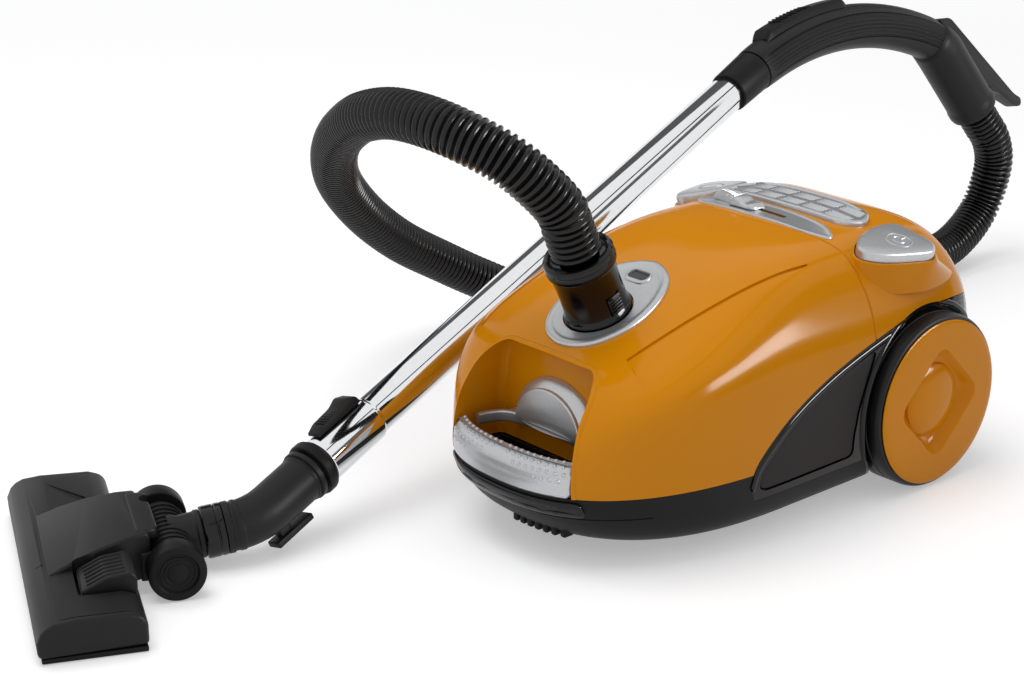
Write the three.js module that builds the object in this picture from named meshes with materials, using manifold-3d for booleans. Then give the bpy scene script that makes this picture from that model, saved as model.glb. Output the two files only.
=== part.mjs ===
// Cylinder vacuum cleaner on wheels, with its hose, bent handle, telescopic tube and floor head.
// Millimetres, +Z up, -Y the canister's front, +X its right side. Each mesh is one physical piece.
import * as THREE from 'three';
import { mergeVertices } from 'three/addons/utils/BufferGeometryUtils.js';
import Module from 'manifold-3d';

const wasm = await Module();
wasm.setup();

// ---------------------------------------------------------------- driving dimensions

const gap = 0.3; // between pieces that touch
const pinClearance = 0.3; // radial, around pins and axles

// How far the shapes that cut reach out, past everything
const farSide = 200;
const farFront = -420;
const farBack = 200;
const farTop = 300;

// Canister body: one row per height. half = half width, front and rear = reach along Y on the centreline,
// square = how square the front corners are, middle = the Y where the row is widest.
const crownHeight = 218;
const crownMiddle = -65;
const shoulderHeight = 100; // above it the body's wall leans inwards
const splitHeight = 62; // the shells stand on the base along this level
const baseHeight = 10; // the clearance under the base
const bodyRows = [
  { z: baseHeight, half: 118, front: -316, rear: 62, square: 2.5, middle: -150 },
  { z: splitHeight - 22, half: 127, front: -351, rear: 78, square: 2.5, middle: -150 },
  { z: splitHeight, half: 130, front: -361, rear: 82, square: 2.5, middle: -150 },
  { z: splitHeight + 28, half: 130, front: -353, rear: 84, square: 2.8, middle: -150 },
  { z: crownHeight - 83, half: 128.5, front: -322, rear: 83, square: 4, middle: -135 },
  { z: crownHeight - 68, half: 125.5, front: -304, rear: 80, square: 4.2, middle: -125 },
  { z: crownHeight - 38, half: 112, front: -233, rear: 68, square: 4.2, middle: -100 },
  { z: crownHeight - 11, half: 86, front: -160, rear: 43, square: 3.6, middle: -78 },
  { z: crownHeight - 4, half: 66, front: -128, rear: 26, square: 3, middle: -72 },
  { z: crownHeight - 1, half: 36, front: -98, rear: 2, square: 2.5, middle: -68 },
];
const rearSquare = 7;
const bodySides = 24;
const baseWall = 3;
const baseFloor = 3;
const shellWall = 2.5;
const coverWall = 6.5; // side cover, with the seat of its inlay

// Lid seam, hinge and front alcove
const seamRear = -66;
const seamBow = 31;
const seamHalfWidth = 98;
const seamSlant = THREE.MathUtils.degToRad(25); // lets the lid's rear edge lift clear of the shell
const seamBreak = crownHeight - 21; // the height where the slant starts
const hingeY = -66;
const hingeZ = crownHeight - 10;
const hingePinRadius = 2;
const hingeArmX = 42;
const hingeArmWidth = 10;
const hingeEyeRadius = 4.6;
const alcoveFootHalf = 70;
const alcoveTopHalf = 54;
const alcoveTop = crownHeight - 68;
const alcoveBack = -292;

// Carrying bar, bumper and finger pocket
const barHeight = 26;
const barHalf = alcoveFootHalf - 2;
const barBackMiddle = -346;
const barBackEnds = -334;
const bumperLow = splitHeight - 16;
const bumperHigh = splitHeight - 3;
const bumperHalf = 74;
const pocketHalf = 62;
const pocketFloor = splitHeight - 22;
const pocketBack = -297;

// Wheels
const tyreRadius = 74;
const tyreThickness = 6;
const rimRadius = tyreRadius - tyreThickness;
const capRadius = rimRadius + 2;
const wheelOuterX = 143;
const wheelWidth = 38;
const wheelSides = 28; // a multiple of four, so that the tyre stands on a corner of its ring
const capThickness = 2;
const axleRadius = 5;
const wellRadius = tyreRadius + 3.5;
const wellWall = 2.5;
const wellInnerX = 98;
const archTop = 2 * tyreRadius + 4; // the top of the cover over the wheel
const archRear = 83.5;

// Front castor
const castorY = -270;
const castorTrail = 8;
const castorWheelRadius = 14;
const castorWheelWidth = 14;
const castorWellRadius = 24;
const castorWellTop = 36;
const castorPinRadius = 4;
const castorAxleRadius = 2;

// Hose, cuff and inlet
const hoseRadius = 20.5;
const hoseBore = 16;
const hoseRibDepth = 2.2;
const hoseRibs = 96;
const ribSides = 8;
const cuffBase = new THREE.Vector3(0, -249, crownHeight - 49);
const cuffLean = THREE.MathUtils.degToRad(24);
const cuffLength = 63;
const cuffRadius = 26;
const cuffRimRadius = 28;
const spigotRadius = 18;
const spigotDepth = 30;
const cuffSeatRadius = cuffRimRadius + 0.8; // the round seat in the lid that the cuff turns in
const buttonTravel = 2;

// The hose's route, chosen by hand: out of the cuff, over the tube, along the floor and up to the handle.
const hoseRoute = [
  [0, -274.7, 226.8], [0, -280.4, 239.6], [0, -286.1, 252.4], [0, -291.4, 264.3], [-18, -323, 301],
  [-61, -348, 323], [-116, -353, 326], [-170, -344, 313], [-218, -326, 292], [-263, -304, 267],
  [-304, -278, 238], [-339, -248, 207], [-366, -212, 174], [-387, -172, 141], [-400, -128, 109],
  [-404, -80, 80], [-399, -32, 52], [-385, 16, 28], [-360, 65, 21], [-332, 113, 21], [-301, 160, 21],
  [-271, 208, 21], [-245, 257, 21], [-225, 309, 21], [-214, 364, 21], [-212, 420, 21], [-216, 476, 27],
  [-219, 522, 56], [-213, 533, 108], [-212.5, 521.9, 137.7], [-214.4, 514.3, 148], [-216.3, 506, 159.2],
  [-218.3, 497.8, 170.4],
];

// Tube: its upper end, and the place of the elbow's flange at its lower end
const tubeTop = new THREE.Vector3(-209, 111, 251);
const tubeFoot = new THREE.Vector3(-124, -445, 51);
const tubeRadius = 17.5;
const tubeWall = 1.3;
const flareRadius = 19.5;
const flareLength = 62;
const innerTubeRadius = 15.5;
const innerTubeWall = 1.2;
const innerTubeTop = 30; // how far below the outer tube's top it starts when pushed in
const collarRadius = 23;
const collarLength = 12;
const elbowRadius = 19.5;
const elbowBore = innerTubeRadius + gap;
const elbowLeg = 62;
const elbowReach = 24;
const headYaw = THREE.MathUtils.degToRad(25);
const neckDrop = 0.119;
const neckLength = 69;
const handleRoll = [-0.1825, -0.3574, 0.916]; // the handle's up direction, across the tube

// Handle
const gripRadius = 21.5;
const gripBore = 15;
const gripStart = 42;
const gripBend = 394;
const gripAngle = THREE.MathUtils.degToRad(42);
const gripEndBend = 70;
const gripEndAngle = THREE.MathUtils.degToRad(75);
const gripEndStraight = 78;
const bendStart = 30;
const socketRadius = 25;
const valveFrom = 64;
const valveTo = 186;
const valveHeight = 12;

// Floor head, in its own frame: x along it, y rearwards from its front edge, z up from the floor
const headHalf = 135;
const headDepth = 78;
const headWall = 2.5;
const soleThickness = 4;
const rollerAxisY = 109;
const rollerRadius = 22;
const rollerInner = 43.5;
const rollerOuter = 61;
const rollerPinRadius = 3;
const neckBarrelRadius = 17;
const neckBarrelHalf = 38.5;
const pedalFrom = 52;
const pedalTo = 92;
const pedalFront = 36;
const pedalRear = 76;
const mouthHalf = 110;
const mouthFront = 14;
const mouthRear = 30;

// Inside the canister
const containerHalf = 106;
const containerFront = -272;
const containerRear = -112;
const containerTop = alcoveTop;
const containerWall = 2;
const motorZ = 90;
const motorHousingRadius = 58;
const motorRadius = 38;
const airHoleRadius = 34;
const fanRadius = motorHousingRadius - 8;
const shaftRadius = 4;
const shaftClearance = 0.15;
const reelRadius = 55;
const reelLow = motorZ + motorHousingRadius + 4;
const reelHigh = crownHeight - 30;
const spindleRadius = 6;

// ---------------------------------------------------------------- materials

const finish = (colour, roughness, metalness = 0) =>
  new THREE.MeshStandardMaterial({ color: colour, roughness, metalness });
const amber = finish('#d98f1d', 0.28);
const silver = finish('#a9abad', 0.4, 0.3);
const glossBlack = finish('#0f0f10', 0.2);
const satinBlack = finish('#202021', 0.5);
const headBlack = finish('#2b2b2c', 0.6);
const warmGrey = finish('#3a3435', 0.55);
const rubber = finish('#161616', 0.7);
const chrome = finish('#d8dadc', 0.08, 1);
const steel = finish('#8d9093', 0.35, 1);
const paleGrey = finish('#b9bcbe', 0.5);
const filterWhite = finish('#e4e2da', 0.9);
const boardGreen = finish('#2f6b45', 0.6);
const smoked = finish('#26282a', 0.15);

// ---------------------------------------------------------------- helpers

function asSolid(geometry) {
  const bare = geometry.index ? geometry.toNonIndexed() : geometry.clone();
  bare.deleteAttribute('normal');
  bare.deleteAttribute('uv');
  const merged = mergeVertices(bare, 1e-3);
  return new wasm.Manifold(new wasm.Mesh({
    numProp: 3,
    vertProperties: new Float32Array(merged.attributes.position.array),
    triVerts: new Uint32Array(merged.index.array),
  }));
}

function asGeometry(solid) {
  const mesh = solid.getMesh();
  const geometry = new THREE.BufferGeometry();
  geometry.setAttribute('position', new THREE.BufferAttribute(new Float32Array(mesh.vertProperties), 3));
  geometry.setIndex(new THREE.BufferAttribute(new Uint32Array(mesh.triVerts), 1));
  geometry.computeVertexNormals();
  return geometry;
}

const cut = (solid, ...tools) => tools.reduce((left, tool) => left.subtract(tool), solid);
const join = (solid, ...more) => more.reduce((sum, piece) => sum.add(piece), solid);
const common = (solid, ...more) => more.reduce((left, piece) => left.intersect(piece), solid);

function box(x0, x1, y0, y1, z0, z1) {
  const geometry = new THREE.BoxGeometry(x1 - x0, y1 - y0, z1 - z0);
  geometry.translate((x0 + x1) / 2, (y0 + y1) / 2, (z0 + z1) / 2);
  return asSolid(geometry);
}

// A cylinder along x, y or z, from one coordinate to another, centred on the other two.
function rod(axis, radius, from, to, a = 0, b = 0, sides = 16) {
  const geometry = new THREE.CylinderGeometry(radius, radius, to - from, sides);
  const middle = (from + to) / 2;
  if (axis === 'x') {
    geometry.rotateZ(-Math.PI / 2);
    geometry.translate(middle, a, b);
  } else if (axis === 'y') {
    geometry.translate(a, middle, b);
  } else {
    geometry.rotateX(Math.PI / 2);
    geometry.translate(a, b, middle);
  }
  return asSolid(geometry);
}

// A turned piece about Z. The profile is a closed loop of [radius, z].
function turned(profile, sides = 16) {
  const points = [...profile, profile[0]].map(([radius, z]) => new THREE.Vector2(radius, z));
  const geometry = new THREE.LatheGeometry(points, sides);
  geometry.rotateX(Math.PI / 2);
  const solid = asSolid(geometry);
  return solid.volume() < 0 ? asSolid(flipped(geometry)) : solid;
}

function flipped(geometry) {
  const turnedOver = geometry.toNonIndexed();
  const place = turnedOver.attributes.position;
  for (let i = 0; i < place.count; i += 3) {
    const b = new THREE.Vector3().fromBufferAttribute(place, i + 1);
    const c = new THREE.Vector3().fromBufferAttribute(place, i + 2);
    place.setXYZ(i + 1, c.x, c.y, c.z);
    place.setXYZ(i + 2, b.x, b.y, b.z);
  }
  return turnedOver;
}

// A straight extrusion of an outline: along 'z' the outline is [x, y], along 'x' it is [y, z],
// and along 'y' it is [x, z].
function prism(axis, outline, from, to) {
  const shape = new THREE.Shape(outline.map(([a, b]) => new THREE.Vector2(a, b)));
  const geometry = new THREE.ExtrudeGeometry(shape, { depth: to - from, bevelEnabled: false, steps: 1 });
  if (axis === 'z') {
    geometry.translate(0, 0, from);
  } else if (axis === 'x') {
    geometry.applyMatrix4(new THREE.Matrix4().set(0, 0, 1, from, 1, 0, 0, 0, 0, 1, 0, 0, 0, 0, 0, 1));
  } else {
    geometry.applyMatrix4(new THREE.Matrix4().set(1, 0, 0, 0, 0, 0, -1, to, 0, 1, 0, 0, 0, 0, 0, 1));
  }
  return asSolid(geometry);
}

// A smooth closed outline through a few points.
function smoothLoop(points, divisions) {
  const curve = new THREE.CatmullRomCurve3(points.map(([a, b]) => new THREE.Vector3(a, b, 0)), true);
  return curve.getPoints(divisions).slice(0, divisions).map((p) => [p.x, p.y]);
}

// An outline moved outwards by a distance, or inwards by a negative one.
function grow(points, distance) {
  const area = points.reduce((sum, [a, b], i) => {
    const [c, d] = points[(i + 1) % points.length];
    return sum + a * d - c * b;
  }, 0);
  const side = Math.sign(area);
  return points.map(([a, b], i) => {
    const [pa, pb] = points[(i + points.length - 1) % points.length];
    const [na, nb] = points[(i + 1) % points.length];
    const before = new THREE.Vector2(a - pa, b - pb).normalize();
    const after = new THREE.Vector2(na - a, nb - b).normalize();
    const outwards = new THREE.Vector2(before.y, -before.x).multiplyScalar(side);
    const bisector = new THREE.Vector2(before.y + after.y, -before.x - after.x);
    bisector.multiplyScalar(side).normalize();
    const lean = Math.max(0.4, bisector.dot(outwards));
    return [a + (bisector.x * distance) / lean, b + (bisector.y * distance) / lean];
  });
}

// The corner radius of a many-sided hole that still clears a round of the given radius.
const roundedUp = (radius, sides) => radius / Math.cos(Math.PI / sides);

// The same piece made for the left side, then the right.
const bothSides = (make) => [-1, 1].map((side) => make(side));

const mirrorX = (points) => points.map(([a, b]) => [-a, b]).reverse();

function spun(solid, x, y, z) {
  const degrees = THREE.MathUtils.radToDeg;
  return solid.rotate([degrees(x), degrees(y), degrees(z)]);
}

function node(name, shape, material) {
  const geometry = shape.isBufferGeometry ? shape : asGeometry(shape);
  const mesh = new THREE.Mesh(geometry, material);
  mesh.name = name;
  return mesh;
}

// ---------------------------------------------------------------- canister body

// The body's outer form, moved out from its surface by offset, as a closed solid.
function bodyForm(offset = 0, around = bodySides) {
  const rows = bodyRows;
  const bottom = baseHeight;
  const rise = (z) => {
    if (z >= shoulderHeight) {
      return (Math.PI / 2) * Math.pow((z - shoulderHeight) / (crownHeight - shoulderHeight), 1.5);
    }
    if (z <= splitHeight) {
      return (-Math.PI / 2) * Math.pow((splitHeight - z) / (splitHeight - bottom), 1.5);
    }
    return 0;
  };
  const points = [];
  for (const row of rows) {
    const out = offset * Math.cos(rise(row.z));
    const z = row.z + offset * Math.sin(rise(row.z));
    for (let k = 0; k < around; k += 1) {
      const angle = (2 * Math.PI * k) / around;
      const across = Math.sin(angle);
      const along = Math.cos(angle);
      const square = along > 0 ? row.square : rearSquare;
      const reach = along > 0 ? row.front - row.middle - out : row.rear - row.middle + out;
      const x = (row.half + out) * Math.sign(across) * Math.pow(Math.abs(across), 2 / square);
      const y = row.middle + reach * Math.pow(Math.abs(along), 2 / square);
      points.push([x, y, z]);
    }
  }
  const lowest = points.length;
  points.push([0, bodyRows[0].middle, bottom - offset]);
  const highest = points.length;
  points.push([0, crownMiddle, crownHeight + offset]);
  const faces = [];
  for (let k = 0; k < around; k += 1) {
    const next = (k + 1) % around;
    faces.push(lowest, k, next);
    const last = (rows.length - 1) * around;
    faces.push(highest, last + next, last + k);
    for (let r = 0; r < rows.length - 1; r += 1) {
      const a = r * around + k;
      const b = r * around + next;
      faces.push(a, a + around, b, b, a + around, b + around);
    }
  }
  const geometry = new THREE.BufferGeometry();
  geometry.setAttribute('position', new THREE.Float32BufferAttribute(points.flat(), 3));
  geometry.setIndex(faces);
  const solid = asSolid(geometry);
  return solid.volume() < 0 ? asSolid(flipped(geometry)) : solid;
}

const form = bodyForm();
const formInside = bodyForm(-shellWall);
const patch = (outline, from, to) => cut(
  common(bodyForm(to), prism('z', outline, alcoveTop - 30, farTop)),
  bodyForm(from),
);

const seamAt = (x) => seamRear - seamBow * (1 - Math.pow(Math.min(Math.abs(x) / seamHalfWidth, 1), 2));
function seamLine(shift) {
  const line = [[-farSide, seamRear + shift]];
  for (let x = -seamHalfWidth; x <= seamHalfWidth + 1; x += seamHalfWidth / 6) {
    line.push([x, seamAt(x) + shift]);
  }
  return [...line, [farSide, seamRear + shift]];
}

// Everything on one side of the seam: upright below the break, leaning back above it.
function besideSeam(shift, farY) {
  const outline = [...seamLine(shift), [farSide, farY], [-farSide, farY]];
  const lean = new THREE.Matrix4().makeShear(0, 0, 0, 0, 0, Math.tan(seamSlant));
  lean.setPosition(0, -seamBreak * Math.tan(seamSlant), 0);
  const below = prism('z', outline, splitHeight + gap, seamBreak);
  const above = prism('z', outline, seamBreak, farTop).transform(lean.toArray());
  return join(below, above);
}
const lidArea = besideSeam(-gap, farFront);
const rearArea = besideSeam(gap, farBack);

// The opening in the sides for the wheel covers, as [y, z], and the inlay in front of the wheel.
const sideOutline = [
  [-207, 46], [-206, 64], [-180, 92], [-156, archTop - 41], [-128, archTop - 28], [-101, archTop - 20],
  [-43, archTop - 7], [16, archTop], [50, archTop - 3], [110, archTop - 22], [110, 38], [-196, 38],
];
const inlayOutline = [
  [-197, 50], [-196, 62], [-172, 86], [-150, archTop - 50], [-122, archTop - 37], [-98, archTop - 29],
  [-62, archTop - 19], [-74, archTop - 40], [-86, 84], [-90, 60], [-88, 46], [-190, 45],
];
const beyond = (side, outline, innerX) =>
  (side > 0 ? prism('x', outline, innerX, farSide) : prism('x', outline, -farSide, -innerX));
const wheelHole = (side, radius, innerX) =>
  rod('x', radius, side > 0 ? innerX : -farSide, side > 0 ? farSide : -innerX, 0, tyreRadius, 24);
const sideOpenings = bothSides((side) =>
  join(
    beyond(side, grow(sideOutline, gap), wellInnerX),
    wheelHole(side, wellRadius + wellWall + gap, wellInnerX - 3 - gap),
  ));

// Cutters placed along the cuff's leaning axis
function onCuff(solid) {
  return spun(solid, cuffLean, 0, 0).translate(cuffBase.toArray());
}
const cuffRod = (radius, from, to) => onCuff(rod('z', radius, from, to));

function makeBaseTub() {
  const outer = common(form, box(-farSide, farSide, farFront, farBack, 0, splitHeight));
  const room = box(-farSide, farSide, farFront, farBack, baseHeight + baseFloor, farTop);
  const hollow = common(bodyForm(-baseWall), room);
  const castorWell = rod('z', castorWellRadius + 3, baseHeight, castorWellTop + 3, 0, castorY);
  const castorBoss = rod('z', castorPinRadius + 4, castorWellTop, castorWellTop + 9, 0, castorY);
  const pocketWalls = common(form, box(
    -pocketHalf - baseWall, pocketHalf + baseWall, farFront, pocketBack + baseWall, pocketFloor - baseFloor,
    splitHeight,
  ));
  const pocket = prism('z', [
    ...barBackLine(pocketHalf, 1), [pocketHalf, pocketBack], [-pocketHalf, pocketBack],
  ], pocketFloor, farTop);
  let tub = join(cut(outer, hollow), common(castorWell, outer), castorBoss, pocketWalls);
  tub = cut(tub, ...sideOpenings, pocket);
  tub = cut(tub, rod('z', castorWellRadius, 0, castorWellTop, 0, castorY));
  tub = cut(tub, rod('z', castorPinRadius + pinClearance, 0, castorWellTop + 20, 0, castorY));
  tub = cut(tub, rod('y', cordOutlet.radius + gap, 60, farBack, cordOutlet.x, cordOutlet.z));
  return tub;
}

// The back of the carrying bar, seen from above, moved rearwards by shift and ending at +-half.
function barBackLine(half, shift = 0) {
  const line = [];
  for (let i = 0; i <= 8; i += 1) {
    const x = -half + (i * 2 * half) / 8;
    line.push([x, barBackMiddle + (barBackEnds - barBackMiddle) * Math.pow(x / barHalf, 2) + shift]);
  }
  return line;
}

function makeHandleBar() {
  const plan = [...barBackLine(barHalf), [barHalf, farFront], [-barHalf, farFront]];
  return common(bodyForm(1.5), prism('z', plan, splitHeight + gap, splitHeight + barHeight));
}

function makeFrontBumper() {
  const band = box(-bumperHalf, bumperHalf, farFront, pocketBack, bumperLow, bumperHigh);
  return common(cut(bodyForm(2.4), bodyForm(gap)), band);
}

const alcoveOutline = [
  [-alcoveFootHalf, pocketFloor], [alcoveFootHalf, pocketFloor], [alcoveFootHalf - 2, alcoveTop - 50],
  [alcoveFootHalf - 5, alcoveTop - 18], [alcoveFootHalf - 9, alcoveTop - 6], [alcoveTopHalf, alcoveTop],
  [-alcoveTopHalf, alcoveTop], [-alcoveFootHalf + 9, alcoveTop - 6], [-alcoveFootHalf + 5, alcoveTop - 18],
  [-alcoveFootHalf + 2, alcoveTop - 50],
];
const inletOutline = smoothLoop([
  [0, -292], [26, -283], [41, -258], [41, -228], [27, -200], [0, -187], [-27, -200], [-41, -228],
  [-41, -258], [-26, -283],
], 14);
const windowOutline = [
  [-9, -206], [-6, -203], [6, -203], [9, -206], [9, -209], [6, -212], [-6, -212], [-9, -209],
];

function hingeArm(x) {
  const outline = [
    [hingeY - 3.6, hingeZ], [hingeY + 3.6, hingeZ], [hingeY + 3.6, hingeZ - 25], [hingeY - 30, hingeZ - 25],
    [hingeY - 34, hingeZ - 20], [hingeY - 34, hingeZ + 12], [hingeY - 25, hingeZ + 12],
    [hingeY - 25, hingeZ - 14], [hingeY - 22, hingeZ - 17], [hingeY - 3.6, hingeZ - 17],
  ];
  const arm = prism('x', outline, x - hingeArmWidth / 2, x + hingeArmWidth / 2);
  const eye = rod('x', hingeEyeRadius, x - hingeArmWidth / 2, x + hingeArmWidth / 2, hingeY, hingeZ, 16);
  const reach = hingeArmWidth;
  const hole = rod('x', hingePinRadius + pinClearance, x - reach, x + reach, hingeY, hingeZ, 16);
  return cut(join(arm, eye), hole);
}

function makeLid() {
  const skin = common(cut(form, formInside), lidArea);
  const linerBlock = prism('y', grow(alcoveOutline, shellWall), farFront, alcoveBack + shellWall);
  const liner = common(form, lidArea, linerBlock);
  const seat = common(cuffRod(cuffSeatRadius + shellWall, -3, 30), form);
  const socket = cuffRod(spigotRadius + 4, -14, 0);
  const arms = bothSides((side) => common(hingeArm(side * hingeArmX), bodyForm(-1)));
  let lid = join(skin, liner, seat, socket, ...arms);
  lid = cut(lid, prism('y', alcoveOutline, farFront, alcoveBack), ...sideOpenings);
  lid = cut(
    lid,
    cuffRod(cuffSeatRadius, 1, cuffLength),
    cuffRod(spigotRadius + 0.8, -cuffLength, cuffLength),
  );
  return cut(lid, prism('z', grow(windowOutline, -2), alcoveTop, farTop));
}

// ---------------------------------------------------------------- top of the rear shell

const grilleOutline = smoothLoop([
  [-70, -22], [-60, -38], [-30, -43], [30, -43], [60, -38], [70, -22], [62, -6], [36, 2], [-36, 2], [-62, -6],
], 14);
const panelOutline = smoothLoop([
  [-74, -65], [-60, -76], [-24, -80], [24, -80], [60, -76], [74, -65], [60, -54], [24, -49.5], [-24, -49.5],
  [-60, -54],
], 14);
const pedalOutline = smoothLoop([
  [-12, -24], [0, -33], [12, -24], [24, 4], [28, 26], [18, 36], [-4, 36], [-20, 32], [-24, 14], [-20, -8],
], 14);
const pedalPlace = { x: 100, y: -28, z: crownHeight - 18, tilt: THREE.MathUtils.degToRad(13) };
const cordOutlet = { x: 40, z: 40, radius: 8 };
const slotHalf = 2.6;
const slotFrom = -40;
const slotTo = 24;
const sliderArc = 560; // the curve of the crown that the slider runs on
const sliderY = -65;
const sliderHalf = 10;
const sliderHeight = 9.5;
const sliderChamfer = 4;
const panelProud = 1.5;

function pedalBlock(side, spread, from, to) {
  const outline = side > 0 ? grow(pedalOutline, spread) : mirrorX(grow(pedalOutline, spread));
  const block = spun(prism('z', outline, from, to), 0, side * pedalPlace.tilt, 0);
  return block.translate([side * pedalPlace.x, pedalPlace.y, pedalPlace.z]);
}

function makeRearShell() {
  const skin = common(cut(form, formInside), rearArea);
  const bosses = bothSides((side) => cut(pedalBlock(side, 3, -34, 2), formInside));
  const filterFrame = cut(
    common(box(-72, 72, -44, 2, crownHeight - 20, farTop), bodyForm(-0.5)),
    box(-68, 68, -40, -2, crownHeight - 17, farTop),
    box(-64, 64, -36, -6, reelHigh, farTop),
  );
  const post = (side) => common(rod('z', 3, boardTop + gap, farTop, side * 26, -59, 12), bodyForm(-0.5));
  const posts = bothSides(post);
  const lugs = bothSides((side) => {
    const inner = side > 0 ? hingeArmX + hingeArmWidth / 2 + gap : -hingeArmX - hingeArmWidth / 2 - gap - 4;
    const lug = box(inner, inner + 4, hingeY - 4, hingeY + 4, hingeZ - 4, farTop);
    const reach = side * (hingeArmX - hingeArmWidth / 2);
    const [low, high] = [Math.min(reach, inner + 2), Math.max(reach, inner + 2)];
    const pin = rod('x', hingePinRadius, low, high, hingeY, hingeZ, 16);
    return join(common(lug, bodyForm(-0.5)), pin);
  });
  let shell = join(skin, ...bosses.map((boss) => common(boss, rearArea)), filterFrame, ...posts, ...lugs);
  shell = cut(shell, ...sideOpenings, box(-64, 64, -36, -6, crownHeight - 13, farTop));
  shell = cut(shell, ...bothSides((side) => pedalBlock(side, 0.8, -8, 40)));
  shell = cut(shell, box(slotFrom, slotTo, sliderY - slotHalf, sliderY + slotHalf, crownHeight - 12, farTop));
  return shell;
}

function makeExhaustGrille() {
  let grille = patch(grilleOutline, gap, 4.5);
  for (let row = 0; row < 2; row += 1) {
    for (let column = -2; column <= 2; column += 1) {
      const x = column * 25;
      const y = row === 0 ? -36 : -18;
      grille = cut(grille, box(x - 10, x + 10, y, y + 11, reelHigh, farTop));
    }
  }
  return grille;
}

function makeSliderPanel() {
  const slot = box(slotFrom, slotTo, sliderY - slotHalf, sliderY + slotHalf, reelHigh, farTop);
  return cut(patch(panelOutline, gap, panelProud), slot);
}

function makeSuctionSlider() {
  const from = -58;
  const to = -4;
  const arc = (radius, a, b) => {
    const points = [];
    for (let i = 0; i <= 6; i += 1) {
      const x = a + ((b - a) * i) / 6;
      points.push([x, crownHeight - sliderArc + Math.sqrt(radius * radius - x * x)]);
    }
    return points;
  };
  const outline = [...arc(sliderArc + 2.5, from, to), ...arc(sliderArc + sliderHeight, to - 12, from + 4)];
  const block = prism('y', outline, sliderY - sliderHalf, sliderY + sliderHalf);
  // The lid's rear edge swings up past the knob's front left corner, so that corner is cut back.
  const lidPath = prism('z', [
    [from - 2, sliderY - 0.5], [from - 2, sliderY - sliderHalf - 2], [to - 27, sliderY - sliderHalf - 2],
    [to - 30, sliderY - 8], [to - 37, sliderY - 3.6], [to - 43, sliderY - 1.6], [to - 48, sliderY - 0.8],
  ], crownHeight - 20, farTop);
  const top = crownHeight + sliderHeight;
  const section = prism('x', [
    [sliderY - sliderHalf, crownHeight - 12], [sliderY + sliderHalf, crownHeight - 12],
    [sliderY + sliderHalf, top - sliderChamfer], [sliderY + sliderHalf - sliderChamfer, top],
    [sliderY - sliderHalf + sliderChamfer, top], [sliderY - sliderHalf, top - sliderChamfer],
  ], from, to);
  const stem = box(
    -37, -31, sliderY - slotHalf + 0.5, sliderY + slotHalf - 0.5, crownHeight - 12, crownHeight + 6,
  );
  return join(cut(common(block, section), lidPath), stem);
}

const makePedal = (side) => pedalBlock(side, 0, -3, 9);
const makeInletPlate = () => cut(
  patch(inletOutline, gap, 3),
  cuffRod(cuffSeatRadius, -cuffLength, cuffLength),
  prism('z', windowOutline, alcoveTop, farTop),
);
const makeIndicatorWindow = () => patch(grow(windowOutline, -gap), gap, 2);

// ---------------------------------------------------------------- wheels and covers

function makeArchTrim(side) {
  const mirrored = (a, b) => (side > 0 ? [a, b] : [-b, -a]);
  const region = beyond(side, sideOutline, wellInnerX);
  const skin = common(cut(form, bodyForm(-coverWall)), region);
  const seat = cut(beyond(side, grow(inlayOutline, gap), wellInnerX), bodyForm(-4.1));
  const [from, to] = mirrored(wellInnerX - 3, farSide);
  const well = common(rod('x', wellRadius + wellWall, from, to, 0, tyreRadius, 24), form);
  let trim = cut(join(cut(skin, seat), well), wheelHole(side, wellRadius, wellInnerX));
  trim = cut(trim, box(-farSide, farSide, archRear, farBack, 0, farTop));
  const [boreFrom, boreTo] = mirrored(wellInnerX - 10, 120);
  return cut(trim, rod('x', axleRadius + gap, boreFrom, boreTo, 0, tyreRadius));
}

function makeSidePanel(side) {
  const skin = cut(bodyForm(-0.8), bodyForm(-3.8));
  return cut(
    common(skin, beyond(side, inlayOutline, wellInnerX)),
    wheelHole(side, wellRadius + wellWall + gap, wellInnerX),
  );
}

function makeAxle(side) {
  const inner = wellInnerX - 3 - gap;
  const shaft = rod('x', axleRadius, inner - 5, wheelOuterX - 12, 0, tyreRadius);
  const flange = rod('x', axleRadius + 5, inner - 5, inner, 0, tyreRadius);
  const axle = join(shaft, flange);
  return side > 0 ? axle : axle.mirror([1, 0, 0]);
}

function makeRim(side) {
  const inner = wheelOuterX - wheelWidth;
  const face = wheelOuterX - 5;
  const body = turned([
    [0, inner], [rimRadius, inner],
    [rimRadius, wheelOuterX - capThickness], [capRadius, wheelOuterX - capThickness],
    [capRadius, wheelOuterX - 0.8], [capRadius - 4, wheelOuterX], [0, wheelOuterX],
  ], wheelSides);
  // A four-sided scoop with leaning walls, and a round boss standing up in its middle.
  const scoop = new THREE.CylinderGeometry(rimRadius - 10, rimRadius - 22, 9, 4);
  scoop.rotateX(Math.PI / 2);
  scoop.translate(0, 0, wheelOuterX - 4.5 + 1);
  const boss = turned([[0, face - 4], [27, face - 4], [27, face - 1], [20, face + 2], [0, face + 3.5]], 16);
  const wheel = join(cut(body, asSolid(scoop)), boss);
  const bored = cut(wheel, rod('z', axleRadius + 0.1, 0, wheelOuterX - 11));
  const turnedOut = spun(bored, 0, Math.PI / 2, 0).translate([0, 0, tyreRadius]);
  return side > 0 ? turnedOut : turnedOut.mirror([1, 0, 0]);
}

function makeTyre(side) {
  const inner = wheelOuterX - wheelWidth;
  const outer = wheelOuterX - capThickness - gap;
  const tyre = turned([
    [rimRadius + gap, inner + 4], [tyreRadius - 1, inner + 4], [tyreRadius, inner + 6],
    [tyreRadius, outer - 5], [capRadius, outer], [rimRadius + gap, outer],
  ], wheelSides);
  const placed = spun(tyre, 0, Math.PI / 2, 0).translate([0, 0, tyreRadius]);
  return side > 0 ? placed : placed.mirror([1, 0, 0]);
}

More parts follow.
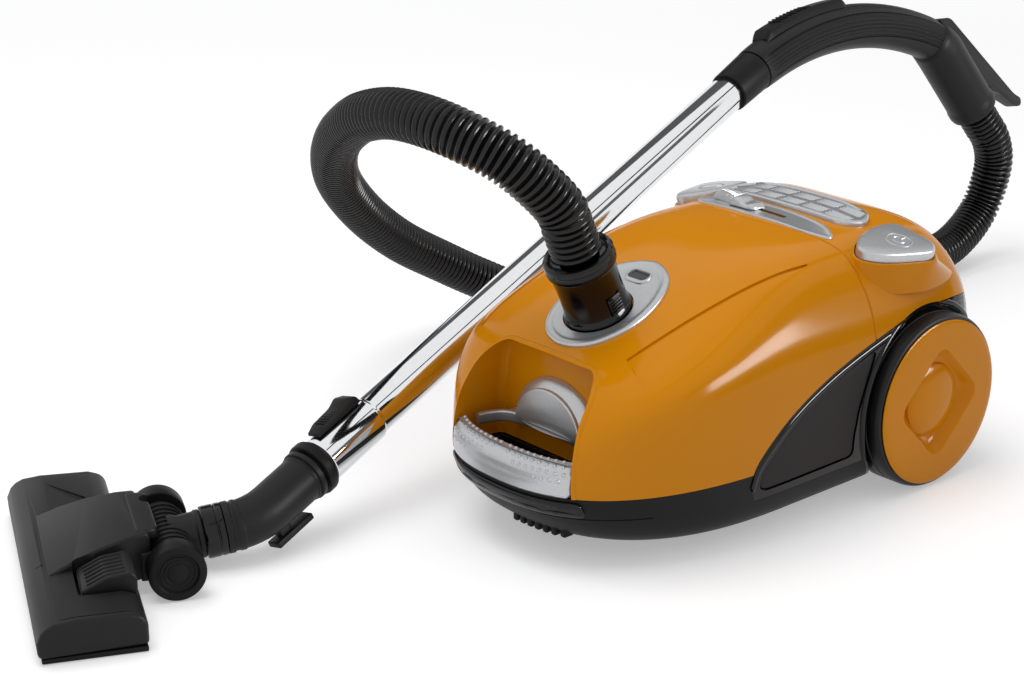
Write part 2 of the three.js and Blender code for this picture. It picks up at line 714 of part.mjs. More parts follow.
const castorAxisY = castorY + castorTrail;
function makeCastorFork() {
  const plate = rod('z', 16, castorWellTop - 5, castorWellTop - 2, 0, castorY);
  const pin = rod('z', castorPinRadius, castorWellTop - 5, castorWellTop + 8.5, 0, castorY);
  const armInner = castorWheelWidth / 2 + 0.6;
  const outline = [
    [castorY - 6, castorWellTop - 3], [castorY + 10, castorWellTop - 3], [castorAxisY + 5, 10],
    [castorAxisY - 5, 10],
  ];
  const arms = bothSides((side) =>
    (side > 0 ? prism('x', outline, armInner, armInner + 3) : prism('x', outline, -armInner - 3, -armInner)));
  const reach = castorWellRadius;
  const hole = rod('x', castorAxleRadius + 0.1, -reach, reach, castorAxisY, castorWheelRadius, 16);
  return cut(join(plate, pin, ...arms), hole);
}
const castorAxleHalf = castorWheelWidth / 2 + 3.6;
const makeCastorAxle = () =>
  rod('x', castorAxleRadius, -castorAxleHalf, castorAxleHalf, castorAxisY, castorWheelRadius, 16);
const makeCastorWheel = () => cut(
  rod(
    'x', castorWheelRadius, -castorWheelWidth / 2, castorWheelWidth / 2, castorAxisY, castorWheelRadius, 16,
  ),
  rod('x', castorAxleRadius + gap, -castorWheelWidth, castorWheelWidth, castorAxisY, castorWheelRadius, 16),
);

// ---------------------------------------------------------------- inside the canister

function makeDustContainer() {
  const low = castorWellTop + 10;
  const block = (inset) => prism('z', [
    [-containerHalf + inset, containerRear - inset], [containerHalf - inset, containerRear - inset],
    [containerHalf - inset, containerFront + 32], [containerHalf - 14, containerFront + inset],
    [-containerHalf + 14, containerFront + inset], [-containerHalf + inset, containerFront + 32],
  ], low + inset, containerTop - inset);
  const outlet = rod('y', airHoleRadius, containerRear - 10, containerRear + 10, 0, motorZ + 10);
  return cut(block(0), block(containerWall), cuffRod(spigotRadius + 6.5, -90, spigotDepth), outlet);
}

function makeContainerFilter() {
  const frame = box(-78, 78, containerRear + gap, containerRear + 11, castorWellTop + 12, alcoveTop + 10);
  let filter = frame;
  for (let x = -66; x <= 66; x += 12) {
    const pleat = box(x - 4, x + 4, containerRear - 8, containerRear + 7, castorWellTop + 18, alcoveTop + 4);
    filter = cut(filter, pleat);
  }
  return filter;
}

function makeMotorBulkhead() {
  const sheet = box(-112, 112, -98, -95, baseHeight + baseFloor + gap, crownHeight - 42);
  const plate = common(bodyForm(-8), sheet);
  return cut(plate, rod('y', airHoleRadius, -110, -90, 0, motorZ));
}

function makeMotorHousing() {
  const can = cut(
    rod('y', motorHousingRadius, -94.7, 14, 0, motorZ),
    rod('y', motorHousingRadius - 2.5, -91, 11, 0, motorZ),
  );
  const footLow = baseHeight + baseFloor + gap;
  const feet = bothSides((side) => box(side * 34 - 6, side * 34 + 6, -80, 4, footLow, 46));
  const spindle = rod('z', spindleRadius, motorZ + motorHousingRadius - 3, reelHigh + 2, 0, -8, 16);
  const vents = [-24, 24].map((x) => rod('y', 12, 0, 30, x, motorZ, 10));
  const round = rod('y', motorHousingRadius - 1, -95, 20, 0, motorZ);
  const body = join(can, spindle, ...feet.map((foot) => cut(foot, round)));
  return cut(body, rod('y', 30, -120, -80, 0, motorZ), ...vents);
}

function makeMotor() {
  const can = rod('y', motorRadius, -48, -2, 0, motorZ);
  const mount = rod('y', motorHousingRadius - 3, -56, -52, 0, motorZ, 16);
  const neck = rod('y', 16, -53, -47, 0, motorZ);
  const vents = bothSides((side) => rod('y', 6, -60, -50, side * (motorHousingRadius - 12), motorZ, 8));
  return cut(join(can, mount, neck), rod('y', shaftRadius + shaftClearance, -70, -20, 0, motorZ), ...vents);
}

function makeMotorFan() {
  const back = rod('y', fanRadius, -62, -60, 0, motorZ, 16);
  const hub = rod('y', 10, -84, -60, 0, motorZ);
  const shaft = rod('y', shaftRadius, -62, -22, 0, motorZ);
  const blades = [];
  for (let i = 0; i < 6; i += 1) {
    const blade = box(8, fanRadius - 1, -80, -61, -0.8, 0.8);
    blades.push(spun(blade, 0, (i * Math.PI) / 3, 0).translate([0, 0, motorZ]));
  }
  return join(back, hub, shaft, ...blades);
}

function makeCableReel() {
  const reel = turned([
    [spindleRadius + gap, reelLow], [reelRadius, reelLow], [reelRadius, reelLow + 2], [24, reelLow + 2],
    [24, reelHigh - 2], [reelRadius, reelHigh - 2], [reelRadius, reelHigh], [spindleRadius + gap, reelHigh],
  ], 16);
  return reel.translate([0, -8, 0]);
}

const boardTop = crownHeight - 20;
const makeControlBoard = () => box(-34, 34, -70, -50, boardTop - 2, boardTop);

function makeExhaustFilter() {
  return box(-67.7, 67.7, -39.7, -2.3, crownHeight - 17 + gap, crownHeight - 13.4);
}

function makeCordOutlet() {
  const ring = turned([
    [4, -14], [cordOutlet.radius, -14], [cordOutlet.radius, -6], [cordOutlet.radius + 3, -6],
    [cordOutlet.radius + 3, 3], [4, 4],
  ], 12);
  const bore = rod('y', cordOutlet.radius + gap / 2, 40, farBack, cordOutlet.x, cordOutlet.z, 12);
  const wall = cut(bodyForm(gap), bore);
  return cut(spun(ring, -Math.PI / 2, 0, 0).translate([cordOutlet.x, 79.4, cordOutlet.z]), wall);
}

// ---------------------------------------------------------------- latch, cuff and hose

function makeLatchLever() {
  const dome = new THREE.SphereGeometry(1, 24, 12);
  dome.scale(45, 20, 38);
  dome.translate(0, alcoveBack - gap, 90);
  const front = box(-60, 60, farFront, alcoveBack - gap, 89, alcoveTop);
  const lip = prism('z', [[-48, alcoveBack - gap], [-48, -306], [-30, -316], [30, -316], [48, -306],
    [48, alcoveBack - gap]], 84, 90);
  return join(common(asSolid(dome), front), lip);
}

function makeHoseCuff() {
  const cuff = turned([
    [hoseBore, -spigotDepth], [spigotRadius, -spigotDepth], [spigotRadius, 3], [cuffRadius + 1.4, 3],
    [cuffRadius + 1.4, 9], [cuffRadius, 12], [cuffRadius, cuffLength - 12], [cuffRimRadius, cuffLength - 8],
    [cuffRimRadius, cuffLength - 1.5], [cuffRimRadius - 1.5, cuffLength], [hoseBore, cuffLength],
  ], 16);
  const pockets = bothSides((side) => box(side > 0 ? 21.5 : -40, side > 0 ? 40 : -21.5, -7, 7, 12, 28));
  return onCuff(cut(cuff, ...pockets));
}

function makeCuffButton(side) {
  const button = box(21.5 + buttonTravel + gap, cuffRadius + 2, -6.6, 6.6, 12.4, 27.6);
  return onCuff(side > 0 ? button : button.mirror([1, 0, 0]));
}

// A ribbed tube with its bore along the route, with rings of points square to it.
function makeHose() {
  const stations = hoseRoute.map((p) => new THREE.Vector3(...p));
  const curve = new THREE.CatmullRomCurve3(stations, false, 'centripetal');
  curve.arcLengthDivisions = 1200;
  const length = curve.getLength();
  const frames = [];
  const ribRings = hoseRibs * 2;
  let side = new THREE.Vector3(1, 0, 0);
  const ring = (share, radius) => {
    const centre = curve.getPointAt(share);
    const ahead = curve.getTangentAt(share);
    side = side.clone().addScaledVector(ahead, -side.dot(ahead)).normalize();
    const up = new THREE.Vector3().crossVectors(ahead, side);
    const points = [];
    for (let k = 0; k < ribSides; k += 1) {
      const angle = (2 * Math.PI * k) / ribSides;
      points.push(centre.clone()
        .addScaledVector(side, radius * Math.cos(angle))
        .addScaledVector(up, radius * Math.sin(angle)));
    }
    return points;
  };
  const startInset = gap / length;
  for (let i = 0; i <= ribRings; i += 1) {
    const share = startInset + ((1 - 2 * startInset) * i) / ribRings;
    const valley = i % 2 === 0;
    frames.push({ outer: ring(share, valley ? hoseRadius - hoseRibDepth : hoseRadius), share });
  }
  side = new THREE.Vector3(1, 0, 0);
  const bore = [];
  for (let i = 0; i <= ribRings; i += 10) {
    bore.push(ring(frames[i].share, hoseBore));
  }
  const points = [];
  const faces = [];
  const addRing = (list) => {
    const first = points.length / 3;
    list.forEach((p) => points.push(p.x, p.y, p.z));
    return first;
  };
  const outerFirst = frames.map((frame) => addRing(frame.outer));
  const boreFirst = bore.map((list) => addRing(list));
  const bridge = (a, b, outwards) => {
    for (let k = 0; k < ribSides; k += 1) {
      const n = (k + 1) % ribSides;
      if (outwards) {
        faces.push(a + k, a + n, b + k, a + n, b + n, b + k);
      } else {
        faces.push(a + k, b + k, a + n, a + n, b + k, b + n);
      }
    }
  };
  for (let i = 0; i < outerFirst.length - 1; i += 1) {
    bridge(outerFirst[i], outerFirst[i + 1], true);
  }
  for (let i = 0; i < boreFirst.length - 1; i += 1) {
    bridge(boreFirst[i], boreFirst[i + 1], false);
  }
  bridge(outerFirst[0], boreFirst[0], false);
  bridge(outerFirst.at(-1), boreFirst.at(-1), true);
  const geometry = new THREE.BufferGeometry();
  geometry.setAttribute('position', new THREE.Float32BufferAttribute(points, 3));
  geometry.setIndex(faces);
  geometry.computeVertexNormals();
  return geometry;
}

// ---------------------------------------------------------------- tube and handle, in the tube's frame

// In this frame x runs up along the tube from its upper end, y is across and z is the handle's up.
const tubeAhead = new THREE.Vector3().subVectors(tubeTop, tubeFoot).normalize();
const tubeLength = tubeTop.distanceTo(tubeFoot);
const tubeUp = new THREE.Vector3(...handleRoll).projectOnPlane(tubeAhead).normalize();
const tubeAcross = new THREE.Vector3().crossVectors(tubeUp, tubeAhead);
const tubeFrame = new THREE.Group();
tubeFrame.applyMatrix4(new THREE.Matrix4().makeBasis(tubeAhead, tubeAcross, tubeUp).setPosition(tubeTop));

const alongX = (solid) => spun(solid, 0, Math.PI / 2, 0);
const collarEnd = -(tubeLength - 2);
const outerTubeEnd = collarEnd + collarLength + gap;

function makeOuterTube() {
  return alongX(turned([
    [tubeRadius - tubeWall, -gap], [tubeRadius, -gap], [tubeRadius, outerTubeEnd + flareLength],
    [flareRadius, outerTubeEnd + flareLength - 5], [flareRadius, outerTubeEnd],
    [flareRadius - tubeWall, outerTubeEnd], [flareRadius - tubeWall, outerTubeEnd + flareLength - 5],
    [tubeRadius - tubeWall, outerTubeEnd + flareLength],
  ], 18));
}

function makeInnerTube() {
  return alongX(turned([
    [innerTubeRadius - innerTubeWall, -innerTubeTop], [innerTubeRadius, -innerTubeTop],
    [innerTubeRadius, -tubeLength - 24], [innerTubeRadius - innerTubeWall, -tubeLength - 24],
  ], 18));
}

function makeTubeCollar() {
  return alongX(turned([
    [innerTubeRadius + gap, collarEnd], [collarRadius - 1, collarEnd], [collarRadius, collarEnd + 1.5],
    [collarRadius, collarEnd + collarLength - 3], [flareRadius, collarEnd + collarLength],
    [innerTubeRadius + gap, collarEnd + collarLength],
  ], 18));
}

function makeLockLever() {
  const low = flareRadius + 0.4;
  const start = outerTubeEnd + 6;
  const outline = [
    [start, low], [start + 50, low], [start + 46, low + 8], [start + 36, low + 11], [start + 8, low + 6],
    [start, low + 2.5],
  ];
  return prism('y', outline, -7, 7);
}

const gripPath = (() => {
  const arcPoint = (angle) => [
    bendStart + gripBend * Math.sin(angle),
    -gripBend + gripBend * Math.cos(angle),
  ];
  const [x1, z1] = arcPoint(gripAngle);
  const cx = x1 - gripEndBend * Math.sin(gripAngle);
  const cz = z1 - gripEndBend * Math.cos(gripAngle);
  const endPoint = (angle) => [cx + gripEndBend * Math.sin(angle), cz + gripEndBend * Math.cos(angle)];
  const [x2, z2] = endPoint(gripEndAngle);
  const ahead = [Math.cos(gripEndAngle), -Math.sin(gripEndAngle)];
  const end = [x2 + ahead[0] * gripEndStraight, z2 + ahead[1] * gripEndStraight];
  return { arcPoint, endPoint, ahead, end };
})();

function sweep(points, outerRadius, boreRadius, sides, steps) {
  const circle = (radius) => Array.from({ length: sides }, (_, k) => {
    const angle = (2 * Math.PI * k) / sides;
    return new THREE.Vector2(radius * Math.cos(angle), radius * Math.sin(angle));
  });
  const shape = new THREE.Shape(circle(outerRadius));
  if (boreRadius > 0) {
    shape.holes.push(new THREE.Path(circle(boreRadius)));
  }
  const path = new THREE.CatmullRomCurve3(points, false, 'centripetal');
  return asSolid(new THREE.ExtrudeGeometry(shape, { steps, extrudePath: path, bevelEnabled: false }));
}

function makeHandleFerrule() {
  return alongX(turned([
    [gripBore, 0.2], [tubeRadius + 1.5, 0.2],
    [tubeRadius + 1.5, gripStart - gap], [gripBore, gripStart - gap],
  ]));
}

// The whole bent tube: from below the ferrule's end to the hose.
function handlePoints() {
  const points = [new THREE.Vector3(gripStart - 8, 0, 0)];
  const firstAngle = (gripStart + 16 - bendStart) / gripBend;
  for (let i = 0; i <= 6; i += 1) {
    const [x, z] = gripPath.arcPoint(firstAngle + ((gripAngle - firstAngle) * i) / 6);
    points.push(new THREE.Vector3(x, 0, z));
  }
  for (let i = 1; i <= 3; i += 1) {
    const [x, z] = gripPath.endPoint(gripAngle + ((gripEndAngle - gripAngle) * i) / 3);
    points.push(new THREE.Vector3(x, 0, z));
  }
  const [ex, ez] = gripPath.end;
  points.push(new THREE.Vector3((points.at(-1).x + ex) / 2, 0, (points.at(-1).z + ez) / 2));
  points.push(new THREE.Vector3(ex, 0, ez));
  return points;
}

// Everything past the plane where the grip ends and the socket begins.
const socketAngle = THREE.MathUtils.lerp(gripAngle, gripEndAngle, 0.3);
function pastGrip(shift) {
  const [x, z] = gripPath.endPoint(socketAngle);
  return spun(box(shift, 200, -60, 60, -60, 60), 0, socketAngle, 0).translate([x, 0, z]);
}

function makeHandleGrip() {
  const tube = sweep(handlePoints(), gripRadius, gripBore, 12, 10);
  return cut(tube, pastGrip(-gap), box(0, gripStart, -60, 60, -60, 60));
}

function makeHoseSocket() {
  const [x, z] = gripPath.endPoint(socketAngle);
  const [ex, ez] = gripPath.end;
  const points = handlePoints().slice(5);
  const body = sweep(points, socketRadius, 0, 16, 7);
  const fin = prism('y', [
    [x + 18, z + 14], [x + 32, z + 6], [ex + 70, ez - 22], [ex + 76, ez - 36], [ex + 68, ez - 38],
    [ex + 36, ez - 4], [ex + 22, ez + 9], [ex + 12, ez + 40],
  ], -4, 4);
  const screwHole = rod('y', 3.3, -40, 40, screwPlace()[0], screwPlace()[1], 12);
  const bore = sweep([...points, new THREE.Vector3(ex, 0, ez).addScaledVector(
    new THREE.Vector3(gripPath.ahead[0], 0, gripPath.ahead[1]), 6)], hoseBore, 0, 12, 7);
  return cut(join(common(body, pastGrip(0)), fin), bore, screwHole);
}

function screwPlace() {
  const [ex, ez] = gripPath.end;
  return [ex + 21, ez + 10];
}

function makeSocketScrew() {
  const [x, z] = screwPlace();
  return rod('y', 3, -4.5, 4.5, x, z, 12);
}

function makeAirSlider() {
  const from = (valveFrom - bendStart) / gripBend;
  const to = (valveTo - bendStart) / gripBend;
  const outline = [];
  const rim = (radius, angle) => [bendStart + radius * Math.sin(angle), -gripBend + radius * Math.cos(angle)];
  for (let i = 0; i <= 8; i += 1) {
    outline.push(rim(gripBend + gripRadius + 0.6, from + ((to - from) * i) / 8));
  }
  for (let i = 8; i >= 0; i -= 1) {
    outline.push(rim(gripBend + gripRadius + valveHeight, from + 0.01 + ((to - from - 0.02) * i) / 8));
  }
  return prism('y', outline, -12, 12);
}

tubeFrame.add(
  node('outer_tube', makeOuterTube(), chrome),
  node('inner_tube', makeInnerTube(), chrome),
  node('tube_collar', makeTubeCollar(), satinBlack),
  node('lock_lever', makeLockLever(), satinBlack),
  node('handle_ferrule', makeHandleFerrule(), satinBlack),
  node('handle_grip', makeHandleGrip(), headBlack),
  node('hose_socket', makeHoseSocket(), headBlack),
  node('socket_screw', makeSocketScrew(), steel),
  node('air_slider', makeAirSlider(), satinBlack),
);

// ---------------------------------------------------------------- elbow, neck and floor head

const elbowCorner = tubeFoot.clone().addScaledVector(tubeAhead, -elbowLeg);
const level = Math.sqrt(1 - neckDrop * neckDrop);
const neckAhead = new THREE.Vector3(-Math.sin(headYaw) * level, -Math.cos(headYaw) * level, -neckDrop);
const neckPivot = elbowCorner.clone().addScaledVector(neckAhead, neckLength);

function makeElbow() {
  const along = (distance) => tubeFoot.clone().addScaledVector(tubeAhead, -distance);
  const beyondCorner = (distance) => elbowCorner.clone().addScaledVector(neckAhead, distance);
  const points = [along(1.2), along(20), along(elbowLeg - 18), along(elbowLeg - 9),
    elbowCorner.clone().addScaledVector(tubeAhead, 1.6).addScaledVector(neckAhead, 1.6),
    beyondCorner(9), beyondCorner(16), beyondCorner(elbowReach)];
  const tube = sweep(points, elbowRadius, roundedUp(elbowBore, 12), 12, 8);
  const basis = new THREE.Matrix4().makeBasis(tubeAhead, tubeAcross, tubeUp).setPosition(tubeTop);
  const flange = alongX(turned([
    [roundedUp(elbowBore, 12), -tubeLength - 6.5], [elbowRadius + 2, -tubeLength - 6.5],
    [elbowRadius + 2, -tubeLength - 1.2], [roundedUp(elbowBore, 12), -tubeLength - 1.2],
  ], 12));
  const clipArm = box(-tubeLength - 50, -tubeLength - 40, -4, 4, -27, -elbowRadius + 1.5);
  const clip = box(-tubeLength - 55, -tubeLength - 20, -6, 6, -31, -27);
  const placed = join(flange, clipArm, clip).transform(basis.toArray());
  return join(tube, placed);
}

// A frame at the elbow's corner with z along the neck.
const neckFrame = new THREE.Group();
const headAcross = new THREE.Vector3(Math.cos(headYaw), -Math.sin(headYaw), 0);
const neckUp = new THREE.Vector3().crossVectors(neckAhead, headAcross);
neckFrame.applyMatrix4(new THREE.Matrix4().makeBasis(headAcross, neckUp, neckAhead).setPosition(elbowCorner));

const collarFrom = elbowReach + gap;
const collarTo = elbowReach + 17;
function makeSwivelCollar() {
  return turned([
    [elbowBore, collarFrom], [elbowRadius + 1, collarFrom],
    [elbowRadius + 1, collarTo], [elbowBore, collarTo],
  ]);
}

function makeNeck() {
  const tube = rod('z', 18, collarTo + gap, neckLength - 4);
  const barrel = rod('x', neckBarrelRadius, -neckBarrelHalf, neckBarrelHalf, 0, neckLength);
  const bore = rod('z', 14, collarTo - 5, neckLength + 4);
  const pinHole = rod('x', rollerPinRadius + gap, -60, 60, 0, neckLength);
  return cut(join(tube, barrel), bore, pinHole);
}
neckFrame.add(
  node('swivel_collar', makeSwivelCollar(), glossBlack),
  node('neck', makeNeck(), headBlack),
);

const headFrame = new THREE.Group();
headFrame.rotation.z = -headYaw;
const headBack = new THREE.Vector3(Math.sin(headYaw), Math.cos(headYaw), 0);
const headOrigin = neckPivot.clone().addScaledVector(headBack, -rollerAxisY);
headFrame.position.set(headOrigin.x, headOrigin.y, neckPivot.z - rollerRadius);

const pedalHole = () => box(pedalFrom - 0.8, pedalTo + 0.8, pedalFront - 0.8, pedalRear + 0.8, 12, 60);

function makeHeadCover() {
  const low = soleThickness + gap;
  const wings = prism('x', [
    [headDepth, low], [headDepth, 26], [headDepth - 8, 31], [12, 30], [3, 26], [-1, 16], [0, low],
  ], -headHalf, headHalf);
  const wingsInside = prism('x', [
    [headDepth - headWall, 0], [headDepth - headWall, 24], [headDepth - 10, 28.3], [13, 27.3], [5.5, 24],
    [2, 16], [3, 0],
  ], -headHalf + headWall, headHalf - headWall);
  const plan = (spread, rear) => prism('z', [
    [-54 - spread, 8], [54 + spread, 8], [41 + spread, rear], [-41 - spread, rear],
  ], 0, 60);
  const housing = common(prism('x', [
    [18, 26], [45, 44], [80, 50], [90, 50], [90, 14], [60, low], [18, low],
  ], -60, 60), plan(0, 95));
  const housingInside = common(prism('x', [
    [20, 0], [20, 24], [46, 41.5], [80, 47.5], [87.5, 47.5], [87.5, 16.5], [60, 0],
  ], -60, 60), plan(-headWall, 95));
  const hood = box(-36, 36, 88, 97, 42.5, 50);
  const arms = bothSides((side) => {
    const inner = neckBarrelHalf + 0.5;
    return box(side > 0 ? inner : -inner - 4, side > 0 ? inner + 4 : -inner, 84, 119, 10, 35);
  });
  let cover = cut(join(wings, housing, hood, ...arms), wingsInside, housingInside);
  cover = cut(cover, rod('x', rollerPinRadius + gap, -80, 80, rollerAxisY, rollerRadius), pedalHole());
  return cut(cover, rod('y', 12, 80, 100, 0, 30));
}

function makeHeadSole() {
  const plate = box(-headHalf + 2, headHalf - 2, 2, headDepth - 1, 0, soleThickness);
  return cut(plate, box(-mouthHalf, mouthHalf, mouthFront, mouthRear, -5, 10), ...brushPlaces.map(
    ([from, to]) => box(-mouthHalf - gap, mouthHalf + gap, from - gap, to + gap, -5, 10)));
}

const brushPlaces = [[6, 10], [56, 60]];
const makeBrush = ([from, to]) => box(-mouthHalf, mouthHalf, from, to, 0.6, 13);

function makeRockerPedal() {
  return prism('x', [
    [pedalFront, 24], [pedalRear, 24], [pedalRear, 38], [pedalRear - 3, 42], [pedalFront, 33],
  ], pedalFrom, pedalTo);
}

function makeRoller(side) {
  const roller = turned([
    [rollerPinRadius + gap, rollerInner], [rollerRadius - 1, rollerInner], [rollerRadius, rollerInner + 1],
    [rollerRadius, rollerOuter - 2], [rollerRadius - 2, rollerOuter], [rollerRadius - 7, rollerOuter],
    [rollerRadius - 8, rollerOuter - 2.5], [rollerPinRadius + gap, rollerOuter - 2.5],
  ], 16);
  const placed = spun(roller, 0, Math.PI / 2, 0);
  const sided = side > 0 ? placed : placed.mirror([1, 0, 0]);
  return sided.translate([0, rollerAxisY, rollerRadius]);
}
const makeRollerAxle = () => rod(
  'x', rollerPinRadius, -rollerOuter + 3, rollerOuter - 3, rollerAxisY, rollerRadius, 16,
);

headFrame.add(
  node('head_cover', makeHeadCover(), headBlack),
  node('head_sole', makeHeadSole(), satinBlack),
  node('brush_front', makeBrush(brushPlaces[0]), rubber),
  node('brush_rear', makeBrush(brushPlaces[1]), rubber),
  node('rocker_pedal', makeRockerPedal(), headBlack),
  node('head_roller_left', makeRoller(-1), headBlack),
  node('head_roller_right', makeRoller(1), headBlack),
  node('roller_axle', makeRollerAxle(), steel),
);

// ---------------------------------------------------------------- the whole cleaner

const canister = new THREE.Group();
canister.add(
  node('base_tub', makeBaseTub(), satinBlack),
  node('front_bumper', makeFrontBumper(), satinBlack),
  node('handle_bar', makeHandleBar(), silver),
  node('rear_shell', makeRearShell(), amber),
  node('exhaust_grille', makeExhaustGrille(), silver),
  node('slider_panel', makeSliderPanel(), silver),
  node('suction_slider', makeSuctionSlider(), silver),
  node('power_pedal', makePedal(1), silver),
  node('rewind_pedal', makePedal(-1), silver),
  node('lid', makeLid(), amber),
  node('inlet_plate', makeInletPlate(), silver),
  node('indicator_window', makeIndicatorWindow(), smoked),
  node('latch_lever', makeLatchLever(), silver),
  node('hose_cuff', makeHoseCuff(), glossBlack),
  node('dust_container', makeDustContainer(), paleGrey),
  node('container_filter', makeContainerFilter(), filterWhite),
  node('motor_bulkhead', makeMotorBulkhead(), satinBlack),
  node('motor_housing', makeMotorHousing(), paleGrey),
  node('motor', makeMotor(), steel),
  node('motor_fan', makeMotorFan(), steel),
  node('cable_reel', makeCableReel(), satinBlack),
  node('control_board', makeControlBoard(), boardGreen),
  node('exhaust_filter', makeExhaustFilter(), filterWhite),
  node('cord_outlet', makeCordOutlet(), satinBlack),
  node('castor_fork', makeCastorFork(), satinBlack),
  node('castor_axle', makeCastorAxle(), steel),
  node('castor_wheel', makeCastorWheel(), rubber),
  node('suction_hose', makeHose(), glossBlack),
  node('elbow', makeElbow(), headBlack),
);
for (const [side, word] of [[-1, 'left'], [1, 'right']]) {
  canister.add(
    node(`arch_trim_${word}`, makeArchTrim(side), glossBlack),
    node(`side_panel_${word}`, makeSidePanel(side), warmGrey),
    node(`axle_${word}`, makeAxle(side), steel),
    node(`rim_${word}`, makeRim(side), amber),
    node(`tyre_${word}`, makeTyre(side), rubber),
    node(`cuff_button_${word}`, makeCuffButton(side), satinBlack),
  );
}

// The origin is on the floor, under the middle of everything but the hose.
const cleaner = new THREE.Group();
cleaner.add(canister, tubeFrame, neckFrame, headFrame);
cleaner.updateMatrixWorld(true);
const reach = new THREE.Box3();
cleaner.traverse((piece) => {
  if (piece.isMesh && piece.name !== 'suction_hose') {
    reach.expandByObject(piece);
  }
});
const centre = reach.getCenter(new THREE.Vector3());
cleaner.position.set(-centre.x, -centre.y, -reach.min.z);

export default cleaner;
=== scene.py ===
"""Cylinder vacuum cleaner: the surfaces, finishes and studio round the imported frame."""

import math

import bpy
import numpy as np
from bpy.props import FloatProperty, FloatVectorProperty, IntProperty, PointerProperty
from mathutils import Matrix, Vector
from mathutils.bvhtree import BVHTree


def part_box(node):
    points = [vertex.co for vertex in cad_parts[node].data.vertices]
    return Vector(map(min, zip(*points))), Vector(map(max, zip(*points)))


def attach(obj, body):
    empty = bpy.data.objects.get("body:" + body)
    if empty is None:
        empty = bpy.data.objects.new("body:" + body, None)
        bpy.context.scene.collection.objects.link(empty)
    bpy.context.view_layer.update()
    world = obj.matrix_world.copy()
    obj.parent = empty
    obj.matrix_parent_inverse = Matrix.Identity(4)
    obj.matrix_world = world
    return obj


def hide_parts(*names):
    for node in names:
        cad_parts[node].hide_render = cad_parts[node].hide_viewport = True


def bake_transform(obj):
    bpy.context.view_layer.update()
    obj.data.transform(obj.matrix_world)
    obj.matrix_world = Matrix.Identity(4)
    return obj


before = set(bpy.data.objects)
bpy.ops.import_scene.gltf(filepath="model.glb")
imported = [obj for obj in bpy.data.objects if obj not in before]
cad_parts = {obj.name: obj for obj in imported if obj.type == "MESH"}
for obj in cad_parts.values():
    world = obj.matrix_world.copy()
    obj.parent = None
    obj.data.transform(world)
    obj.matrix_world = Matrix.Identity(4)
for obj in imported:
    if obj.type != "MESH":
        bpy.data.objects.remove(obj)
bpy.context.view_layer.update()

bl_info = {
    "name": "Cylinder vacuum cleaner",
    "version": (1, 0, 0),
    "blender": (4, 5, 0),
    "location": "3D View > Sidebar > Cleaner",
    "description": "Builds the visible surfaces and finishes of a cylinder vacuum cleaner",
    "category": "Add Mesh",
}

MM = 0.001
PHOTO_WIDTH = 1024


# ---------------------------------------------------------------- places taken from the frame

def middle_of(node):
    """The middle of a node's box in millimetres."""
    low, high = (Vector(corner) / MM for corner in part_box(node))
    return (low + high) / 2


def upright(x, y, z, turn=0.0):
    """A frame in millimetres at a point, turned about the vertical."""
    return Matrix.Translation((x, y, z)) @ Matrix.Rotation(turn, 4, "Z")


def along_axes(origin, ahead, across, up):
    """A frame whose x, y and z run along three directions."""
    matrix = Matrix((ahead, across, up)).transposed().to_4x4()
    matrix.translation = origin
    return matrix


WHEEL_MIDDLE = (middle_of("tyre_left") + middle_of("tyre_right")) / 2
# The canister's frame: x to its right, y rearwards, from the floor below the wheels' axle.
CANISTER = upright(WHEEL_MIDDLE.x, WHEEL_MIDDLE.y, 0)

TUBE_TOP = CANISTER @ Vector((-209, 111, 251))
TUBE_FOOT = CANISTER @ Vector((-124, -445, 51))
TUBE_LENGTH = (TUBE_TOP - TUBE_FOOT).length
TUBE_AHEAD = (TUBE_TOP - TUBE_FOOT).normalized()
HANDLE_ROLL = Vector((-0.1825, -0.3574, 0.916))
TUBE_UP = (HANDLE_ROLL - HANDLE_ROLL.dot(TUBE_AHEAD) * TUBE_AHEAD).normalized()
TUBE = along_axes(TUBE_TOP, TUBE_AHEAD, TUBE_UP.cross(TUBE_AHEAD), TUBE_UP)

CUFF_LEAN = math.radians(24)
CUFF = CANISTER @ Matrix.Translation((0, -249, 169)) @ Matrix.Rotation(CUFF_LEAN, 4, "X")

HEAD_YAW = math.radians(25)
NECK_DROP = 0.119
NECK_LENGTH = 69
ELBOW_LEG = 62
ROLLER_AXIS_Y = 109
ROLLER_RADIUS = 22
WING_REAR = 78
NECK_LEVEL = math.sqrt(1 - NECK_DROP ** 2)
NECK_AHEAD = Vector((-math.sin(HEAD_YAW) * NECK_LEVEL, -math.cos(HEAD_YAW) * NECK_LEVEL, -NECK_DROP))
HEAD_ACROSS = Vector((math.cos(HEAD_YAW), -math.sin(HEAD_YAW), 0))
ELBOW_CORNER = TUBE_FOOT - ELBOW_LEG * TUBE_AHEAD
NECK = along_axes(ELBOW_CORNER, HEAD_ACROSS, NECK_AHEAD.cross(HEAD_ACROSS), NECK_AHEAD)
NECK_PIVOT = ELBOW_CORNER + NECK_LENGTH * NECK_AHEAD
HEAD_BACK = Vector((math.sin(HEAD_YAW), math.cos(HEAD_YAW), 0))
HEAD_ORIGIN = NECK_PIVOT - ROLLER_AXIS_Y * HEAD_BACK
HEAD = upright(HEAD_ORIGIN.x, HEAD_ORIGIN.y, NECK_PIVOT.z - ROLLER_RADIUS, -HEAD_YAW)


# ---------------------------------------------------------------- settings that a user would change

def length(name, text, default):
    return FloatProperty(name=name, description=text, default=default * MM, subtype="DISTANCE", unit="LENGTH")


def power(name, text, default):
    return FloatProperty(name=name, description=text, default=default, unit="POWER")


